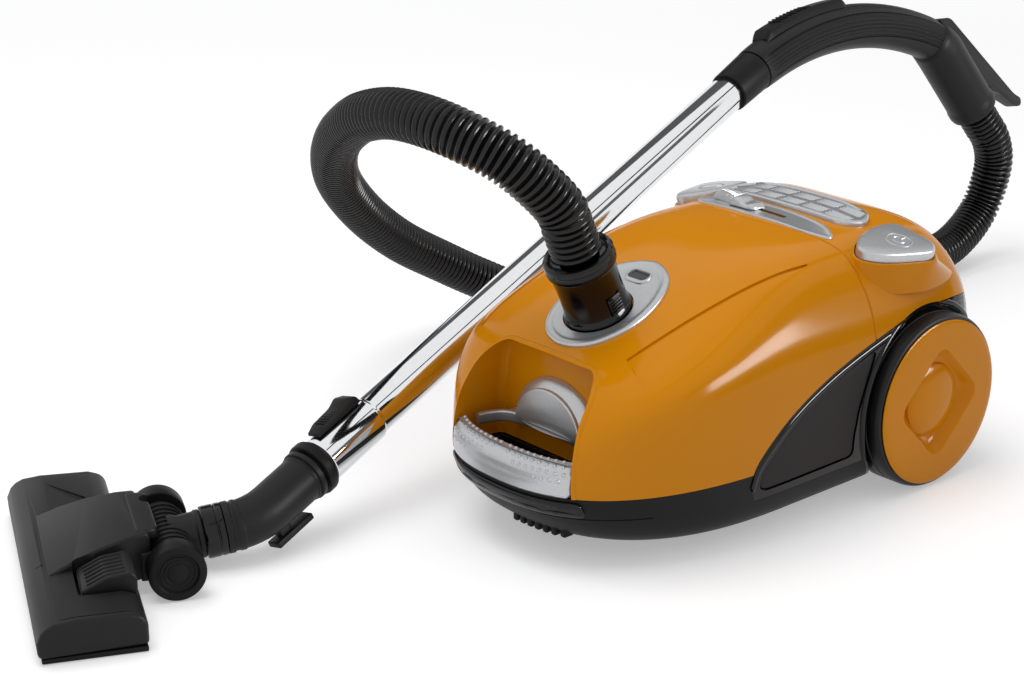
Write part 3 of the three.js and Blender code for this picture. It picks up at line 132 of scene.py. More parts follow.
def linear(code):
    """An sRGB hex colour as linear values."""
    channels = [int(code[i:i + 2], 16) / 255 for i in (0, 2, 4)]
    return tuple(c / 12.92 if c <= 0.04045 else ((c + 0.055) / 1.055) ** 2.4 for c in channels)


def colour(name, text, code):
    return FloatVectorProperty(name=name, description=text, default=linear(code), size=3, subtype="COLOR")


class BodySizes(bpy.types.PropertyGroup):
    wall: length("Shell wall", "Thickness of the amber shells", 2.5)
    seam: length("Seam", "Gap between the lid and the rear shell", 0.6)
    seam_bevel: length("Seam bevel", "Width of the bevelled groove along the seam", 3.4)
    rim: length("Alcove rim", "Radius of the rolled rim round the alcove", 4.6)
    dot: length("Dot", "Diameter of the grip dots on the carrying bar", 3.6)


class HoseSizes(bpy.types.PropertyGroup):
    diameter: length("Diameter", "Outer diameter over the ribs", 41)
    bore: length("Bore", "Inner diameter", 32)
    pitch: length("Rib pitch", "Distance from rib to rib", 5.9)
    depth: length("Rib depth", "Depth of the valley between ribs", 3.3)


class WandSizes(bpy.types.PropertyGroup):
    tube: length("Tube", "Diameter of the outer chrome tube", 35)
    inner: length("Inner tube", "Diameter of the inner chrome tube", 31)
    grip: length("Grip", "Diameter of the handle", 43)
    grip_ribs: IntProperty(name="Grip ribs", description="Long ribs on each side of the handle", default=7)


class HeadSizes(bpy.types.PropertyGroup):
    width: length("Width", "Width of the floor head", 270)
    edge: length("Edge", "Radius of the cover's edges", 3.5)
    tufts: IntProperty(name="Tufts", description="Tufts in each bristle strip", default=44)


class Colours(bpy.types.PropertyGroup):
    amber: colour("Amber", "Glossy shells and wheel discs", "d68705")
    silver: colour("Silver", "Painted trim", "bcbec0")
    black: colour("Black", "Gloss covers and cuff", "09090a")
    satin: colour("Satin black", "Base, handle and rings", "121213")
    head: colour("Head grey", "Floor head, elbow and grip", "1c1c1d")
    inlay: colour("Inlay", "Matt side inlays", "2b2627")


class StageSettings(bpy.types.PropertyGroup):
    key: power("Key light", "Power of the large soft light", 34)
    cheek: power("Mirrored light", "Power of the light that gloss shows", 44)
    fill: FloatProperty(name="Fill", description="Strength of the world's light", default=0.55)


SETTINGS = {
    "body": BodySizes, "hose": HoseSizes, "wand": WandSizes, "head": HeadSizes, "colours": Colours,
    "stage": StageSettings,
}


class CleanerSettings(bpy.types.PropertyGroup):
    __annotations__ = {group: PointerProperty(type=kind) for group, kind in SETTINGS.items()}


def settings():
    return bpy.context.scene.cleaner


# ---------------------------------------------------------------- finishes

def add(tree, kind, inputs=None, **options):
    """One node: its options, then its inputs, each a plain value or another node's output."""
    node = tree.nodes.new(kind)
    for key, value in options.items():
        setattr(node, key, value)
    for key, value in (inputs or {}).items():
        if isinstance(value, bpy.types.NodeSocket):
            tree.links.new(value, node.inputs[key])
        else:
            node.inputs[key].default_value = value
    return node


def shown_plainly(tree):
    """1 for the rays that show the white surroundings as they are: camera, glossy and transmission rays."""
    rays = add(tree, "ShaderNodeLightPath").outputs
    shown = rays["Is Camera Ray"]
    for ray in ("Is Glossy Ray", "Is Transmission Ray"):
        shown = add(tree, "ShaderNodeMath", {0: shown, 1: rays[ray]}, operation="MAXIMUM").outputs[0]
    return shown


def per_mm(size):
    """The scale of a pattern whose grain measures so many millimetres, on coordinates in metres."""
    return 1 / (size * MM)


def shaded(name, build, **constants):
    """A material, made once, whose shader takes its constants as they are and its patterns from build."""
    material = bpy.data.materials.get(name)
    if material:
        return material
    material = bpy.data.materials.new(name)
    material.use_nodes = True
    tree = material.node_tree
    shader = tree.nodes["Principled BSDF"]
    for key, value in constants.items():
        shader.inputs[key.replace("_", " ")].default_value = value
    place = add(tree, "ShaderNodeTexCoord").outputs["Object"]
    for key, socket in build(tree, place).items():
        tree.links.new(socket, shader.inputs[key])
    return material


def tinted(tree, value, tone, depth):
    """A colour that darkens and lightens a little with a pattern."""
    ramp = add(tree, "ShaderNodeValToRGB", {"Fac": value})
    ramp.color_ramp.elements[0].position = 0.3
    ramp.color_ramp.elements[1].position = 0.7
    ramp.color_ramp.elements[0].color = (*[c * (1 - depth) for c in tone], 1)
    ramp.color_ramp.elements[1].color = (*[min(1, c * (1 + depth)) for c in tone], 1)
    return ramp.outputs["Color"]


def moulded(name, tone, roughness, grain, relief, mottle=0.04, cloud=40, swing=0.05, **constants):
    """Moulded plastic: a grain in the surface, a slow change of tone, and a gloss that varies with it.
    The grain, its height (relief) and the cloud of tone are in millimetres."""
    def build(tree, place):
        fine = add(tree, "ShaderNodeTexNoise", {"Vector": place, "Scale": per_mm(grain), "Detail": 3.0})
        slow = add(tree, "ShaderNodeTexNoise", {"Vector": place, "Scale": per_mm(cloud), "Detail": 2.0})
        bump = add(tree, "ShaderNodeBump", {
            "Height": fine.outputs["Fac"], "Distance": relief * MM, "Strength": 1.0})
        rough = add(tree, "ShaderNodeMapRange", {
            "Value": slow.outputs["Fac"], "To Min": roughness - swing, "To Max": roughness + swing})
        return {
            "Base Color": tinted(tree, slow.outputs["Fac"], tone, mottle),
            "Roughness": rough.outputs["Result"],
            "Normal": bump.outputs["Normal"],
        }
    return shaded(name, build, **constants)


def drawn_metal(name, tone, depth, grain, detail, relief, smoothest, roughest):
    """Bare metal: one fine pattern gives its marks, its gloss and a trace of tone."""
    def build(tree, place):
        marks = add(tree, "ShaderNodeTexNoise", {"Vector": place, "Scale": per_mm(grain), "Detail": detail})
        bump = add(tree, "ShaderNodeBump", {
            "Height": marks.outputs["Fac"], "Distance": relief * MM, "Strength": 1.0})
        rough = add(tree, "ShaderNodeMapRange", {
            "Value": marks.outputs["Fac"], "To Min": smoothest, "To Max": roughest})
        return {
            "Base Color": tinted(tree, marks.outputs["Fac"], linear(tone), depth),
            "Roughness": rough.outputs["Result"],
            "Normal": bump.outputs["Normal"],
        }
    return shaded(name, build, Metallic=1.0)


def amber_abs():
    # Gloss ABS from a polished mould: deep colour, sharp highlights and a faint orange peel.
    return moulded("amber_gloss_abs", settings().colours.amber, 0.13, grain=9, relief=0.006, mottle=0.03,
                   cloud=120, swing=0.03, IOR=1.5, Specular_IOR_Level=0.13)


def silver_paint():
    # Silver lacquer on ABS: a soft metallic sheen from flakes under a thin coat.
    def build(tree, place):
        flakes = add(tree, "ShaderNodeTexVoronoi", {"Vector": place, "Scale": per_mm(0.5)})
        slow = add(tree, "ShaderNodeTexNoise", {"Vector": place, "Scale": per_mm(30), "Detail": 2.0})
        bump = add(tree, "ShaderNodeBump", {
            "Height": flakes.outputs["Distance"], "Distance": 0.008 * MM, "Strength": 1.0})
        rough = add(tree, "ShaderNodeMapRange", {"Value": slow.outputs["Fac"], "To Min": 0.3, "To Max": 0.4})
        return {
            "Base Color": tinted(tree, flakes.outputs["Color"], settings().colours.silver, 0.06),
            "Roughness": rough.outputs["Result"],
            "Normal": bump.outputs["Normal"],
        }
    return shaded("silver_lacquered_abs", build, Metallic=0.75, Coat_Weight=0.35, Coat_Roughness=0.12)


def black_abs():
    # Piano-black ABS: nearly mirror smooth, with a trace of flow waves from the mould.
    return moulded("black_gloss_abs", settings().colours.black, 0.12, grain=12, relief=0.004, cloud=90,
                   swing=0.03, IOR=1.5, Specular_IOR_Level=0.3)


def satin_abs():
    # Spark-eroded mould finish: a fine even grain that spreads the light.
    return moulded("black_satin_abs", settings().colours.satin, 0.46, grain=0.8, relief=0.012, cloud=50,
                   Specular_IOR_Level=0.16)


def head_pp():
    # Polypropylene with a leathery etched grain: dull, slightly grey in the light.
    return moulded("dark_grained_polypropylene", settings().colours.head, 0.44, grain=1.1, relief=0.025,
                   cloud=60, Specular_IOR_Level=0.2)


def inlay_abs():
    # Matt painted ABS with a warm tint.
    return moulded("warm_grey_matt_abs", settings().colours.inlay, 0.5, grain=0.9, relief=0.01, cloud=70,
                   Specular_IOR_Level=0.12)


def hose_vinyl():
    # Blown vinyl: the skin is glossy where it was stretched over the ribs.
    return moulded("black_blown_vinyl", linear("070708"), 0.22, grain=3, relief=0.02, cloud=35, swing=0.06,
                   IOR=1.53, Specular_IOR_Level=0.3)


def tread_rubber():
    # Black rubber tyre, semi-gloss when new, with dust held in its grain.
    return moulded("black_tyre_rubber", linear("101011"), 0.38, grain=1.2, relief=0.02, cloud=25, mottle=0.2,
                   Specular_IOR_Level=0.25)


def chrome():
    # Bright chrome over drawn steel tube: a mirror with faint marks of the drawing below the plating.
    return drawn_metal("bright_chrome_on_steel", "e6e7e9", 0.02, grain=6, detail=4.0, relief=0.004,
                       smoothest=0.03, roughest=0.08)


def plain_steel():
    # Turned and zinc-plated steel: fine tool marks and a cool grey.
    return drawn_metal("zinc_plated_steel", "9a9da0", 0.08, grain=0.7, detail=5.0, relief=0.01,
                       smoothest=0.25, roughest=0.45)


def pale_abs():
    # Unpainted grey ABS inside the machine, with a little dust in the hollows.
    return moulded("pale_grey_abs", linear("b2b5b7"), 0.48, grain=1.0, relief=0.015, cloud=30, mottle=0.07)


def filter_fleece():
    # Non-woven filter fleece: crossed fibres, soft and fully matt.
    def build(tree, place):
        fibres = add(tree, "ShaderNodeTexNoise", {
            "Vector": place, "Scale": per_mm(1.2), "Detail": 6.0, "Distortion": 2.5})
        bump = add(tree, "ShaderNodeBump", {
            "Height": fibres.outputs["Fac"], "Distance": 0.15 * MM, "Strength": 1.0})
        return {
            "Base Color": tinted(tree, fibres.outputs["Fac"], linear("dedbd0"), 0.1),
            "Normal": bump.outputs["Normal"],
        }
    return shaded("white_filter_fleece", build, Roughness=0.95, Sheen_Weight=0.3)


def board_resin():
    # Glass-fibre board under green solder resist: a weave below a thin gloss.
    def build(tree, place):
        weave = add(tree, "ShaderNodeTexWave", {"Vector": place, "Scale": per_mm(4), "Distortion": 0.5})
        bump = add(tree, "ShaderNodeBump", {
            "Height": weave.outputs["Fac"], "Distance": 0.02 * MM, "Strength": 1.0})
        return {
            "Base Color": tinted(tree, weave.outputs["Fac"], linear("2c6a43"), 0.15),
            "Normal": bump.outputs["Normal"],
        }
    return shaded("green_circuit_board", build, Roughness=0.4)


def smoked_window():
    # Smoked clear plastic over a dark well: black with a sharp reflection.
    return moulded("smoked_acrylic", linear("1b1d1f"), 0.09, grain=15, relief=0.002, cloud=30, swing=0.03,
                   IOR=1.49)


def bristle_nylon():
    # Stiff black nylon bristle: thin glossy strands.
    return moulded("black_nylon_bristle", linear("151516"), 0.35, grain=0.6, relief=0.05, cloud=6,
                   mottle=0.25)


# ---------------------------------------------------------------- modelling helpers, in millimetres

def start():
    """Object mode with nothing selected: the frame's nodes come in selected."""
    if bpy.context.object and bpy.context.object.mode != "OBJECT":
        bpy.ops.object.mode_set(mode="OBJECT")
    bpy.ops.object.select_all(action="DESELECT")


def new_piece(name):
    """The primitive that was just added, named."""
    piece = bpy.context.object
    piece.name = piece.data.name = name
    return piece


def only(piece):
    """The piece selected alone and active."""
    start()
    piece.select_set(True)
    bpy.context.view_layer.objects.active = piece


def tidied(piece):
    """Doubles merged, loose edges gone and faces pointing outwards."""
    only(piece)
    bpy.ops.object.mode_set(mode="EDIT")
    bpy.ops.mesh.select_all(action="SELECT")
    bpy.ops.mesh.remove_doubles(threshold=0.001)
    bpy.ops.mesh.delete_loose()
    bpy.ops.mesh.select_all(action="SELECT")
    bpy.ops.mesh.normals_make_consistent(inside=False)
    bpy.ops.object.mode_set(mode="OBJECT")
    return piece


def applied(piece, kind, **options):
    """A modifier added with its options and applied."""
    only(piece)
    modifier = piece.modifiers.new(kind.lower(), kind)
    for key, value in options.items():
        setattr(modifier, key, value)
    bpy.ops.object.modifier_apply(modifier=modifier.name)
    return piece


def bevelled(piece, width, segments=3, angle=35):
    return applied(piece, "BEVEL", width=width, segments=segments, limit_method="ANGLE",
                   angle_limit=math.radians(angle))


def combined(piece, operation, *tools):
    """A boolean with each tool in turn, which uses the tool up."""
    for tool in tools:
        applied(piece, "BOOLEAN", operation=operation, object=tool, solver="MANIFOLD")
        bpy.data.objects.remove(tool)
    return piece


def cut(piece, *tools):
    return combined(piece, "DIFFERENCE", *tools)


def united(piece, *tools):
    return combined(piece, "UNION", *tools)


def common(piece, *tools):
    return combined(piece, "INTERSECT", *tools)


def copied(piece, name):
    twin = piece.copy()
    twin.data = piece.data.copy()
    twin.name = twin.data.name = name
    bpy.context.collection.objects.link(twin)
    return twin


def joined(piece, *others):
    """Separate closed parts kept in one piece, such as ribs that stand on a face."""
    only(piece)
    for other in others:
        other.select_set(True)
    bpy.ops.object.join()
    return piece


def moved(piece, matrix):
    """The mesh moved, with its faces still pointing outwards after a mirroring."""
    piece.data.transform(matrix)
    if matrix.determinant() < 0:
        piece.data.flip_normals()
    return piece


MIRROR_X = Matrix.Scale(-1, 4, (1, 0, 0))
Z_ONTO_X = Matrix.Rotation(math.pi / 2, 4, "Y")
Z_ONTO_Y = Matrix.Rotation(-math.pi / 2, 4, "X")
SIDES = ((-1, "left"), (1, "right"))


def handed(piece, hand):
    """A piece made for the right side, or for the left one mirrored."""
    return piece if hand > 0 else moved(piece, MIRROR_X)


def block(name, x0, x1, y0, y1, z0, z1, edge=0.0, segments=3):
    """A box between two values on each axis, with its edges rounded if edge is set."""
    start()
    bpy.ops.mesh.primitive_cube_add(size=1)
    piece = new_piece(name)
    piece.data.transform(
        Matrix.Translation(((x0 + x1) / 2, (y0 + y1) / 2, (z0 + z1) / 2))
        @ Matrix.Diagonal((x1 - x0, y1 - y0, z1 - z0, 1)))
    return bevelled(piece, edge, segments) if edge else piece


ALONG = {  # an outline drawn in x and y, stood so that it runs along an axis
    "z": Matrix.Identity(4),
    "x": Matrix(((0, 0, 1, 0), (1, 0, 0, 0), (0, 1, 0, 0), (0, 0, 0, 1))),
    "y": Matrix(((1, 0, 0, 0), (0, 0, 1, 0), (0, 1, 0, 0), (0, 0, 0, 1))),
}


def prism(name, axis, outline, low, high, edge=0.0, segments=3):
    """A filled ring set on the outline and extruded: [x, y] along z, [y, z] along x, [x, z] along y."""
    start()
    bpy.ops.mesh.primitive_circle_add(vertices=len(outline), fill_type="NGON")
    piece = new_piece(name)
    for vertex, (a, b) in zip(piece.data.vertices, outline):
        vertex.co = (a, b, low)
    bpy.ops.object.mode_set(mode="EDIT")
    bpy.ops.mesh.select_all(action="SELECT")
    bpy.ops.mesh.extrude_region_move(TRANSFORM_OT_translate={"value": (0, 0, high - low)})
    bpy.ops.object.mode_set(mode="OBJECT")
    piece.data.transform(ALONG[axis])
    tidied(piece)
    return bevelled(piece, edge, segments) if edge else piece


def turned(name, profile, steps=96, edge=0.0):
    """A closed loop of (radius, z) spun round the z axis."""
    start()
    bpy.ops.mesh.primitive_circle_add(vertices=len(profile), fill_type="NOTHING")
    piece = new_piece(name)
    for vertex, (radius, z) in zip(piece.data.vertices, profile):
        vertex.co = (radius, 0, z)
    bpy.ops.object.mode_set(mode="EDIT")
    bpy.ops.mesh.select_all(action="SELECT")
    bpy.ops.mesh.spin(steps=steps, angle=2 * math.pi, center=(0, 0, 0), axis=(0, 0, 1))
    bpy.ops.object.mode_set(mode="OBJECT")
    tidied(piece)
    return bevelled(piece, edge, 2) if edge else piece


def laid(name, profile, steps=96):
    """A turned part whose axis runs along x."""
    return moved(turned(name, profile, steps), Z_ONTO_X)


def rod(name, radius, low, high, steps=64, edge=0.0):
    return turned(name, [(0, low), (radius, low), (radius, high), (0, high)], steps, edge)


def wrapped(name, rings, ends="poles"):
    """A flat grid wrapped into rings of points: its long sides meet, and each end closes in a point, is
    filled, or meets the other end."""
    rings = np.asarray(rings, float)
    count, around = rings.shape[:2]
    start()
    bpy.ops.mesh.primitive_grid_add(x_subdivisions=around, y_subdivisions=count - 1, size=1)
    piece = new_piece(name)
    flat = np.empty(len(piece.data.vertices) * 3)
    piece.data.vertices.foreach_get("co", flat)
    flat = flat.reshape(-1, 3)
    column = np.rint((flat[:, 0] + 0.5) * around).astype(int) % around
    row = np.rint((flat[:, 1] + 0.5) * (count - 1)).astype(int)
    piece.data.vertices.foreach_set("co", rings[row, column].ravel())
    only(piece)
    bpy.ops.object.mode_set(mode="EDIT")
    bpy.ops.mesh.select_all(action="SELECT")
    bpy.ops.mesh.remove_doubles(threshold=0.0005)
    if ends == "filled":
        bpy.ops.mesh.select_all(action="DESELECT")
        bpy.ops.mesh.select_non_manifold()
        bpy.ops.mesh.fill_holes(sides=0)
    bpy.ops.mesh.select_all(action="SELECT")
    bpy.ops.mesh.normals_make_consistent(inside=False)
    bpy.ops.object.mode_set(mode="OBJECT")
    return piece


def finished(piece, body, finish, nodes=(), place=CANISTER, slot=None, smooth=32):
    """The mesh brought to its place in metres, shaded, given its finish, and hung on its body."""
    moved(piece, Matrix.Scale(MM, 4) @ place)
    only(piece)
    bpy.ops.object.shade_smooth_by_angle(angle=math.radians(smooth))
    piece.data.materials.clear()
    piece.data.materials.append(finish)
    if body:
        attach(piece, body)
    if nodes:
        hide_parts(*nodes)
    return piece


def spline(points, count, closed=False):
    """Evenly spaced points on a smooth curve through a few, by the centripetal Catmull-Rom rule."""
    points = np.asarray(points, float)
    if closed:
        ring = np.vstack([points[-1], points, points[0], points[1]])
    else:
        ring = np.vstack([2 * points[0] - points[1], points, 2 * points[-1] - points[-2]])
    steps = np.linspace(0, 1, 24, endpoint=False)[:, None]
    dense = []
    for p0, p1, p2, p3 in zip(ring, ring[1:], ring[2:], ring[3:]):
        d1, d2, d3 = (max(np.linalg.norm(b - a), 1e-6) ** 0.5 for a, b in ((p0, p1), (p1, p2), (p2, p3)))
        m1 = (p2 - p1) + d2 * ((p1 - p0) / d1 - (p2 - p0) / (d1 + d2))
        m2 = (p2 - p1) + d2 * ((p3 - p2) / d3 - (p3 - p1) / (d2 + d3))
        dense.append(p1 * (2 * steps ** 3 - 3 * steps ** 2 + 1) + m1 * (steps ** 3 - 2 * steps ** 2 + steps)
                     + p2 * (3 * steps ** 2 - 2 * steps ** 3) + m2 * (steps ** 3 - steps ** 2))
    dense.append((points[0] if closed else points[-1])[None])
    return evenly(np.vstack(dense), count, closed)


def evenly(line, count, closed=False):
    """A line of points resampled so that they are the same distance apart."""
    run = np.concatenate([[0], np.cumsum(np.linalg.norm(np.diff(line, axis=0), axis=1))])
    at = np.linspace(0, run[-1], count + 1)[:-1] if closed else np.linspace(0, run[-1], count)
    return np.column_stack([np.interp(at, run, line[:, k]) for k in range(line.shape[1])])


def resampled(outline, count):
    """A closed outline with evenly spaced points."""
    return evenly(np.array(outline + outline[:1]), count, closed=True)


def grown(outline, distance):
    """A closed outline moved outwards by a distance, or inwards by a negative one."""
    points = np.asarray(outline, float)
    before, after = np.roll(points, 1, axis=0), np.roll(points, -1, axis=0)
    area = np.sum(points[:, 0] * after[:, 1] - after[:, 0] * points[:, 1])
    ahead = after - before
    ahead /= np.linalg.norm(ahead, axis=1)[:, None] + 1e-9
    outwards = np.column_stack([ahead[:, 1], -ahead[:, 0]]) * np.sign(area)
    return points + outwards * distance


def rounded(corners, radius, steps=6):
    """A closed outline with each corner made round."""
    corners = [Vector(c) for c in corners]
    points = []
    for i, corner in enumerate(corners):
        back, ahead = corners[i - 1] - corner, corners[(i + 1) % len(corners)] - corner
        reach = min(radius, back.length * 0.49, ahead.length * 0.49)
        first, last = corner + back.normalized() * reach, corner + ahead.normalized() * reach
        for k in range(steps + 1):
            t = k / steps
            points.append(tuple(first * (1 - t) ** 2 + corner * 2 * t * (1 - t) + last * t ** 2))
    return points


def carried(line, shapes, side):
    """Rings of points: each shape's (across, up) pairs set square to a line of points, without twisting."""
    line = np.asarray(line, float)
    ahead = np.gradient(line, axis=0)
    ahead /= np.linalg.norm(ahead, axis=1)[:, None]
    side = np.array(side, float)
    rings = []
    for point, direction, shape in zip(line, ahead, shapes):
        side = side - direction * side.dot(direction)
        side /= np.linalg.norm(side)
        up = np.cross(direction, side)
        shape = np.asarray(shape, float)
        rings.append(point + shape[:, :1] * side + shape[:, 1:] * up)
    return np.array(rings)


def swept(name, line, section, side=(1, 0, 0)):
    """A section carried along a line of points. section(share) gives its shape at a share of the line."""
    shapes = [section(i / (len(line) - 1)) for i in range(len(line))]
    return wrapped(name, carried(line, shapes, side), "filled")


def circle(radius, count=32):
    angles = np.linspace(0, 2 * math.pi, count, endpoint=False)
    return np.column_stack([radius * np.cos(angles), radius * np.sin(angles)])


# ---------------------------------------------------------------- the canister's form

# Height, half width, front, rear, squareness of the front corners, and the y where the row is widest.
BODY_ROWS = (
    (10, 0, -150, -150, 2.5, -150), (10, 60, -234, -44, 2.5, -150), (10, 108, -306, 54, 2.5, -150),
    (22, 122, -334, 72, 2.5, -150), (40, 127, -351, 78, 2.5, -150), (62, 130, -361, 82, 2.5, -150),
    (90, 130.5, -353, 84, 2.8, -150), (115, 130, -339, 84, 3.4, -145), (135, 128.5, -322, 83, 4, -135),
    (150, 125.5, -304, 80, 4.2, -125), (165, 120, -270, 75, 4.2, -112), (180, 112, -233, 68, 4.2, -100),
    (195, 101, -197, 58, 4, -88), (207, 86, -160, 43, 3.6, -78), (214, 66, -128, 26, 3, -72),
    (217, 36, -98, 2, 2.5, -68), (218, 0, -65, -65, 2.5, -65),
)
REAR_SQUARE = 7
FORM_RINGS = 110
FRONT_STEPS, REAR_STEPS = 42, 30
# The profile's points while it is eased, those past each end, and the easing's width.
PROFILE_POINTS, PROFILE_PAD, PROFILE_EASE = 900, 120, 14


def eased_rows():
    """The rows joined by a smooth profile, evenly spaced along it."""
    rows = np.array(BODY_ROWS, float)
    rows[:, 2] -= rows[:, 5]
    rows[:, 3] -= rows[:, 5]
    run = np.concatenate([[0], np.cumsum(np.hypot(np.diff(rows[:, 0]), np.diff(rows[:, 1])))])
    fine = np.linspace(0, run[-1], PROFILE_POINTS)
    dense = np.column_stack([np.interp(fine, run, rows[:, k]) for k in range(6)])
    flip = np.array([1, -1, -1, -1, 1, 1])  # past a pole, what reaches out reaches the other way
    pad = PROFILE_PAD
    wide = np.vstack([dense[pad:0:-1] * flip, dense, dense[-2:-pad - 2:-1] * flip])
    reach = PROFILE_EASE / (run[-1] / (PROFILE_POINTS - 1))
    offsets = np.arange(-pad + 1, pad)
    kernel = np.exp(-0.5 * (offsets / (reach / 2)) ** 2)
    kernel /= kernel.sum()
    smooth = np.column_stack([np.convolve(wide[:, k], kernel, mode="same") for k in range(6)])
    half_width_first = [1, 0, 2, 3, 4, 5]
    smooth = evenly(smooth[pad:pad + PROFILE_POINTS, half_width_first], FORM_RINGS)[:, half_width_first]
    smooth[0, 1:4] = smooth[-1, 1:4] = 0
    return smooth


def body_rings():
    """The form as rings of points: from the front middle round by the right side."""
    least = 1e-3  # a ring at a pole keeps this size, so that its points stay in order
    angle = np.linspace(0, math.pi / 2, 240)
    rings = []
    for z, half, front, rear, square, middle in eased_rows():
        quarters = []
        for reach, power, steps in ((front, square, FRONT_STEPS), (rear, REAR_SQUARE, REAR_STEPS)):
            x = np.sin(angle) ** (2 / power) * max(half, least)
            y = np.cos(angle) ** (2 / power) * (reach if abs(reach) > least else least)
            quarters.append(evenly(np.column_stack([x, y]), steps + 1))
        right = np.vstack([quarters[0], quarters[1][::-1][1:]])
        left = right[1:-1][::-1] * (-1, 1)
        loop = np.vstack([right, left])
        rings.append(np.column_stack([loop[:, 0], loop[:, 1] + middle, np.full(len(loop), z)]))
    return np.array(rings)


def ring_normals(rings):
    """The direction outwards at each point of the rings."""
    around = np.roll(rings, -1, axis=1) - np.roll(rings, 1, axis=1)
    along = np.gradient(rings, axis=0)
    normals = np.cross(around, along)
    size = np.linalg.norm(normals, axis=2)[:, :, None]
    normals /= np.where(size < 1e-9, 1, size)
    normals[0], normals[-1] = (0, 0, -1), (0, 0, 1)
    return normals


class Form:
    """The canister's outer form, its offsets, and the points of its surface seen from one direction."""

    def __init__(self):
        self.rings = body_rings()
        self.normals = ring_normals(self.rings)
        count, around = self.rings.shape[:2]
        faces = []
        for low in range(0, (count - 1) * around, around):
            for k in range(around):
                beside = (k + 1) % around
                faces.append((low + k, low + beside, low + around + beside, low + around + k))
        self.tree = BVHTree.FromPolygons(self.rings.reshape(-1, 3).tolist(), faces)

    def solid(self, offset=0.0):
        """The form as a closed mesh, grown by an offset."""
        rings = self.rings + self.normals * offset
        rings[0], rings[-1] = rings[0].mean(axis=0), rings[-1].mean(axis=0)
        return wrapped("form", rings)

    def seen(self, origin, direction):
        """The point of the surface that a ray meets, or else passes, and its normal."""
        origin, direction = Vector(origin), Vector(direction)
        place, normal, _, _ = self.tree.ray_cast(origin, direction)
        if place is None:
            place, normal, _, _ = self.tree.find_nearest(origin + 300 * direction)
        if normal.dot(direction) > 0:
            normal = -normal
        return place, normal

    def top(self, x, y):
        return self.seen((x, y, 400), (0, 0, -1))

    def ahead(self, x, z):
        return self.seen((x, -600, z), (0, 1, 0))

    def side(self, y, z, hand=1):
        return self.seen((400 * hand, y, z), (-hand, 0, 0))


FORM = Form()


def draped(name, outline, profile, seen, hub=None, rings=7):
    """A plate that follows the form: each of the profile's pairs draws its outline in by an inset and lifts
    it off the surface by a height, and rings close it towards its hub above and below."""
    outline = np.asarray(outline, float)
    hub = outline.mean(axis=0) if hub is None else np.array(hub, float)

    def lifted(points, height):
        ring = []
        for a, b in points:
            place, normal = seen(a, b)
            ring.append(place + normal * height)
        return ring

    inset, height = profile[0]
    first = grown(outline, -inset)
    grid = [lifted(hub + (first - hub) * k / rings, height) for k in range(rings)]
    for inset, height in profile:
        grid.append(lifted(grown(outline, -inset), height))
    last = grown(outline, -profile[-1][0])
    grid += [lifted(hub + (last - hub) * k / rings, profile[-1][1]) for k in range(rings - 1, -1, -1)]
    return wrapped(name, grid)


def groove(line, width, depth):
    """A V-shaped cutter along points on the form's surface, given with their normals."""
    points = np.array([p for p, _ in line])
    ahead = np.gradient(points, axis=0)
    shoulder, crest = 0.6, 3  # how far the cutter stands proud at its sides and in its middle
    rings = []
    for (point, normal), direction in zip(line, ahead):
        across = Vector(direction).cross(normal).normalized() * width / 2
        rings.append([point + across + normal * shoulder, point + normal * crest,
                      point - across + normal * shoulder, point - normal * depth])
    return wrapped("groove", rings, "filled")


# ---------------------------------------------------------------- seams and openings of the shells

SEAM_REAR, SEAM_BOW, SEAM_HALF = -66, 31, 98
SEAM_BREAK, SEAM_SLANT = 197, math.tan(math.radians(25))
SEAM_SIDE_TOP = 180
SPLIT = 62
WHEEL_RADIUS = 74
WELL_RADIUS = WHEEL_RADIUS + 3.5
SIDE_FACE = 98
ALCOVE_BACK = -292
WIDE, AHEAD, BEHIND, ABOVE = 200, -420, 200, 300  # cutters reach this far, which is past the form


def slab(name, low, high, rear=BEHIND):
    """All of the form's room between two heights."""
    return block(name, -WIDE, WIDE, AHEAD, rear, low, high)


def seam_at(x, z=0):
    """The seam's y, over the crown and down the sides."""
    bow = SEAM_BOW * (1 - min(abs(x) / SEAM_HALF, 1) ** 2)
    return SEAM_REAR - bow + max(0, z - SEAM_BREAK) * SEAM_SLANT


def beside_seam(shift, far_y):
    """All that is ahead of the seam or behind it: upright low down, and leaning back near the crown."""
    far_x, rise = 300, 100
    xs = [-far_x, *np.linspace(-SEAM_HALF, SEAM_HALF, 41), far_x]
    outline = [(x, seam_at(x) + shift) for x in xs] + [(far_x, far_y), (-far_x, far_y)]
    piece = prism("area", "z", outline, SPLIT + 0.3, SEAM_BREAK)
    only(piece)
    bpy.ops.object.mode_set(mode="EDIT")
    bpy.ops.mesh.select_all(action="DESELECT")
    bpy.ops.object.mode_set(mode="OBJECT")
    for face in piece.data.polygons:
        face.select = face.center.z > SEAM_BREAK - 0.01 and face.normal.z > 0.9
    bpy.ops.object.mode_set(mode="EDIT")
    bpy.ops.mesh.extrude_region_move(TRANSFORM_OT_translate={"value": (0, rise * SEAM_SLANT, rise)})
    bpy.ops.object.mode_set(mode="OBJECT")
    return tidied(piece)


def seam_line():
    """Points along the seam on the surface, from the left side over the crown to the right side."""
    left, right = (
        [FORM.side(seam_at(SEAM_HALF), z, hand) for z in np.linspace(SPLIT - 4, SEAM_SIDE_TOP, 40)]
        for hand, _ in SIDES)
    crown = []
    for x in np.linspace(-95, 95, 64):
        y = seam_at(x)
        for _ in range(6):  # the slanted seam's y depends on the height found there
            place, normal = FORM.top(x, y)
            y = seam_at(x, place.z)
        crown.append((place, normal))
    return left + crown + right[::-1]


def seam_groove():
    """The cutter of the bevelled groove along the seam."""
    width = settings().body.seam_bevel / MM
    return groove(seam_line(), width, width * 0.42)


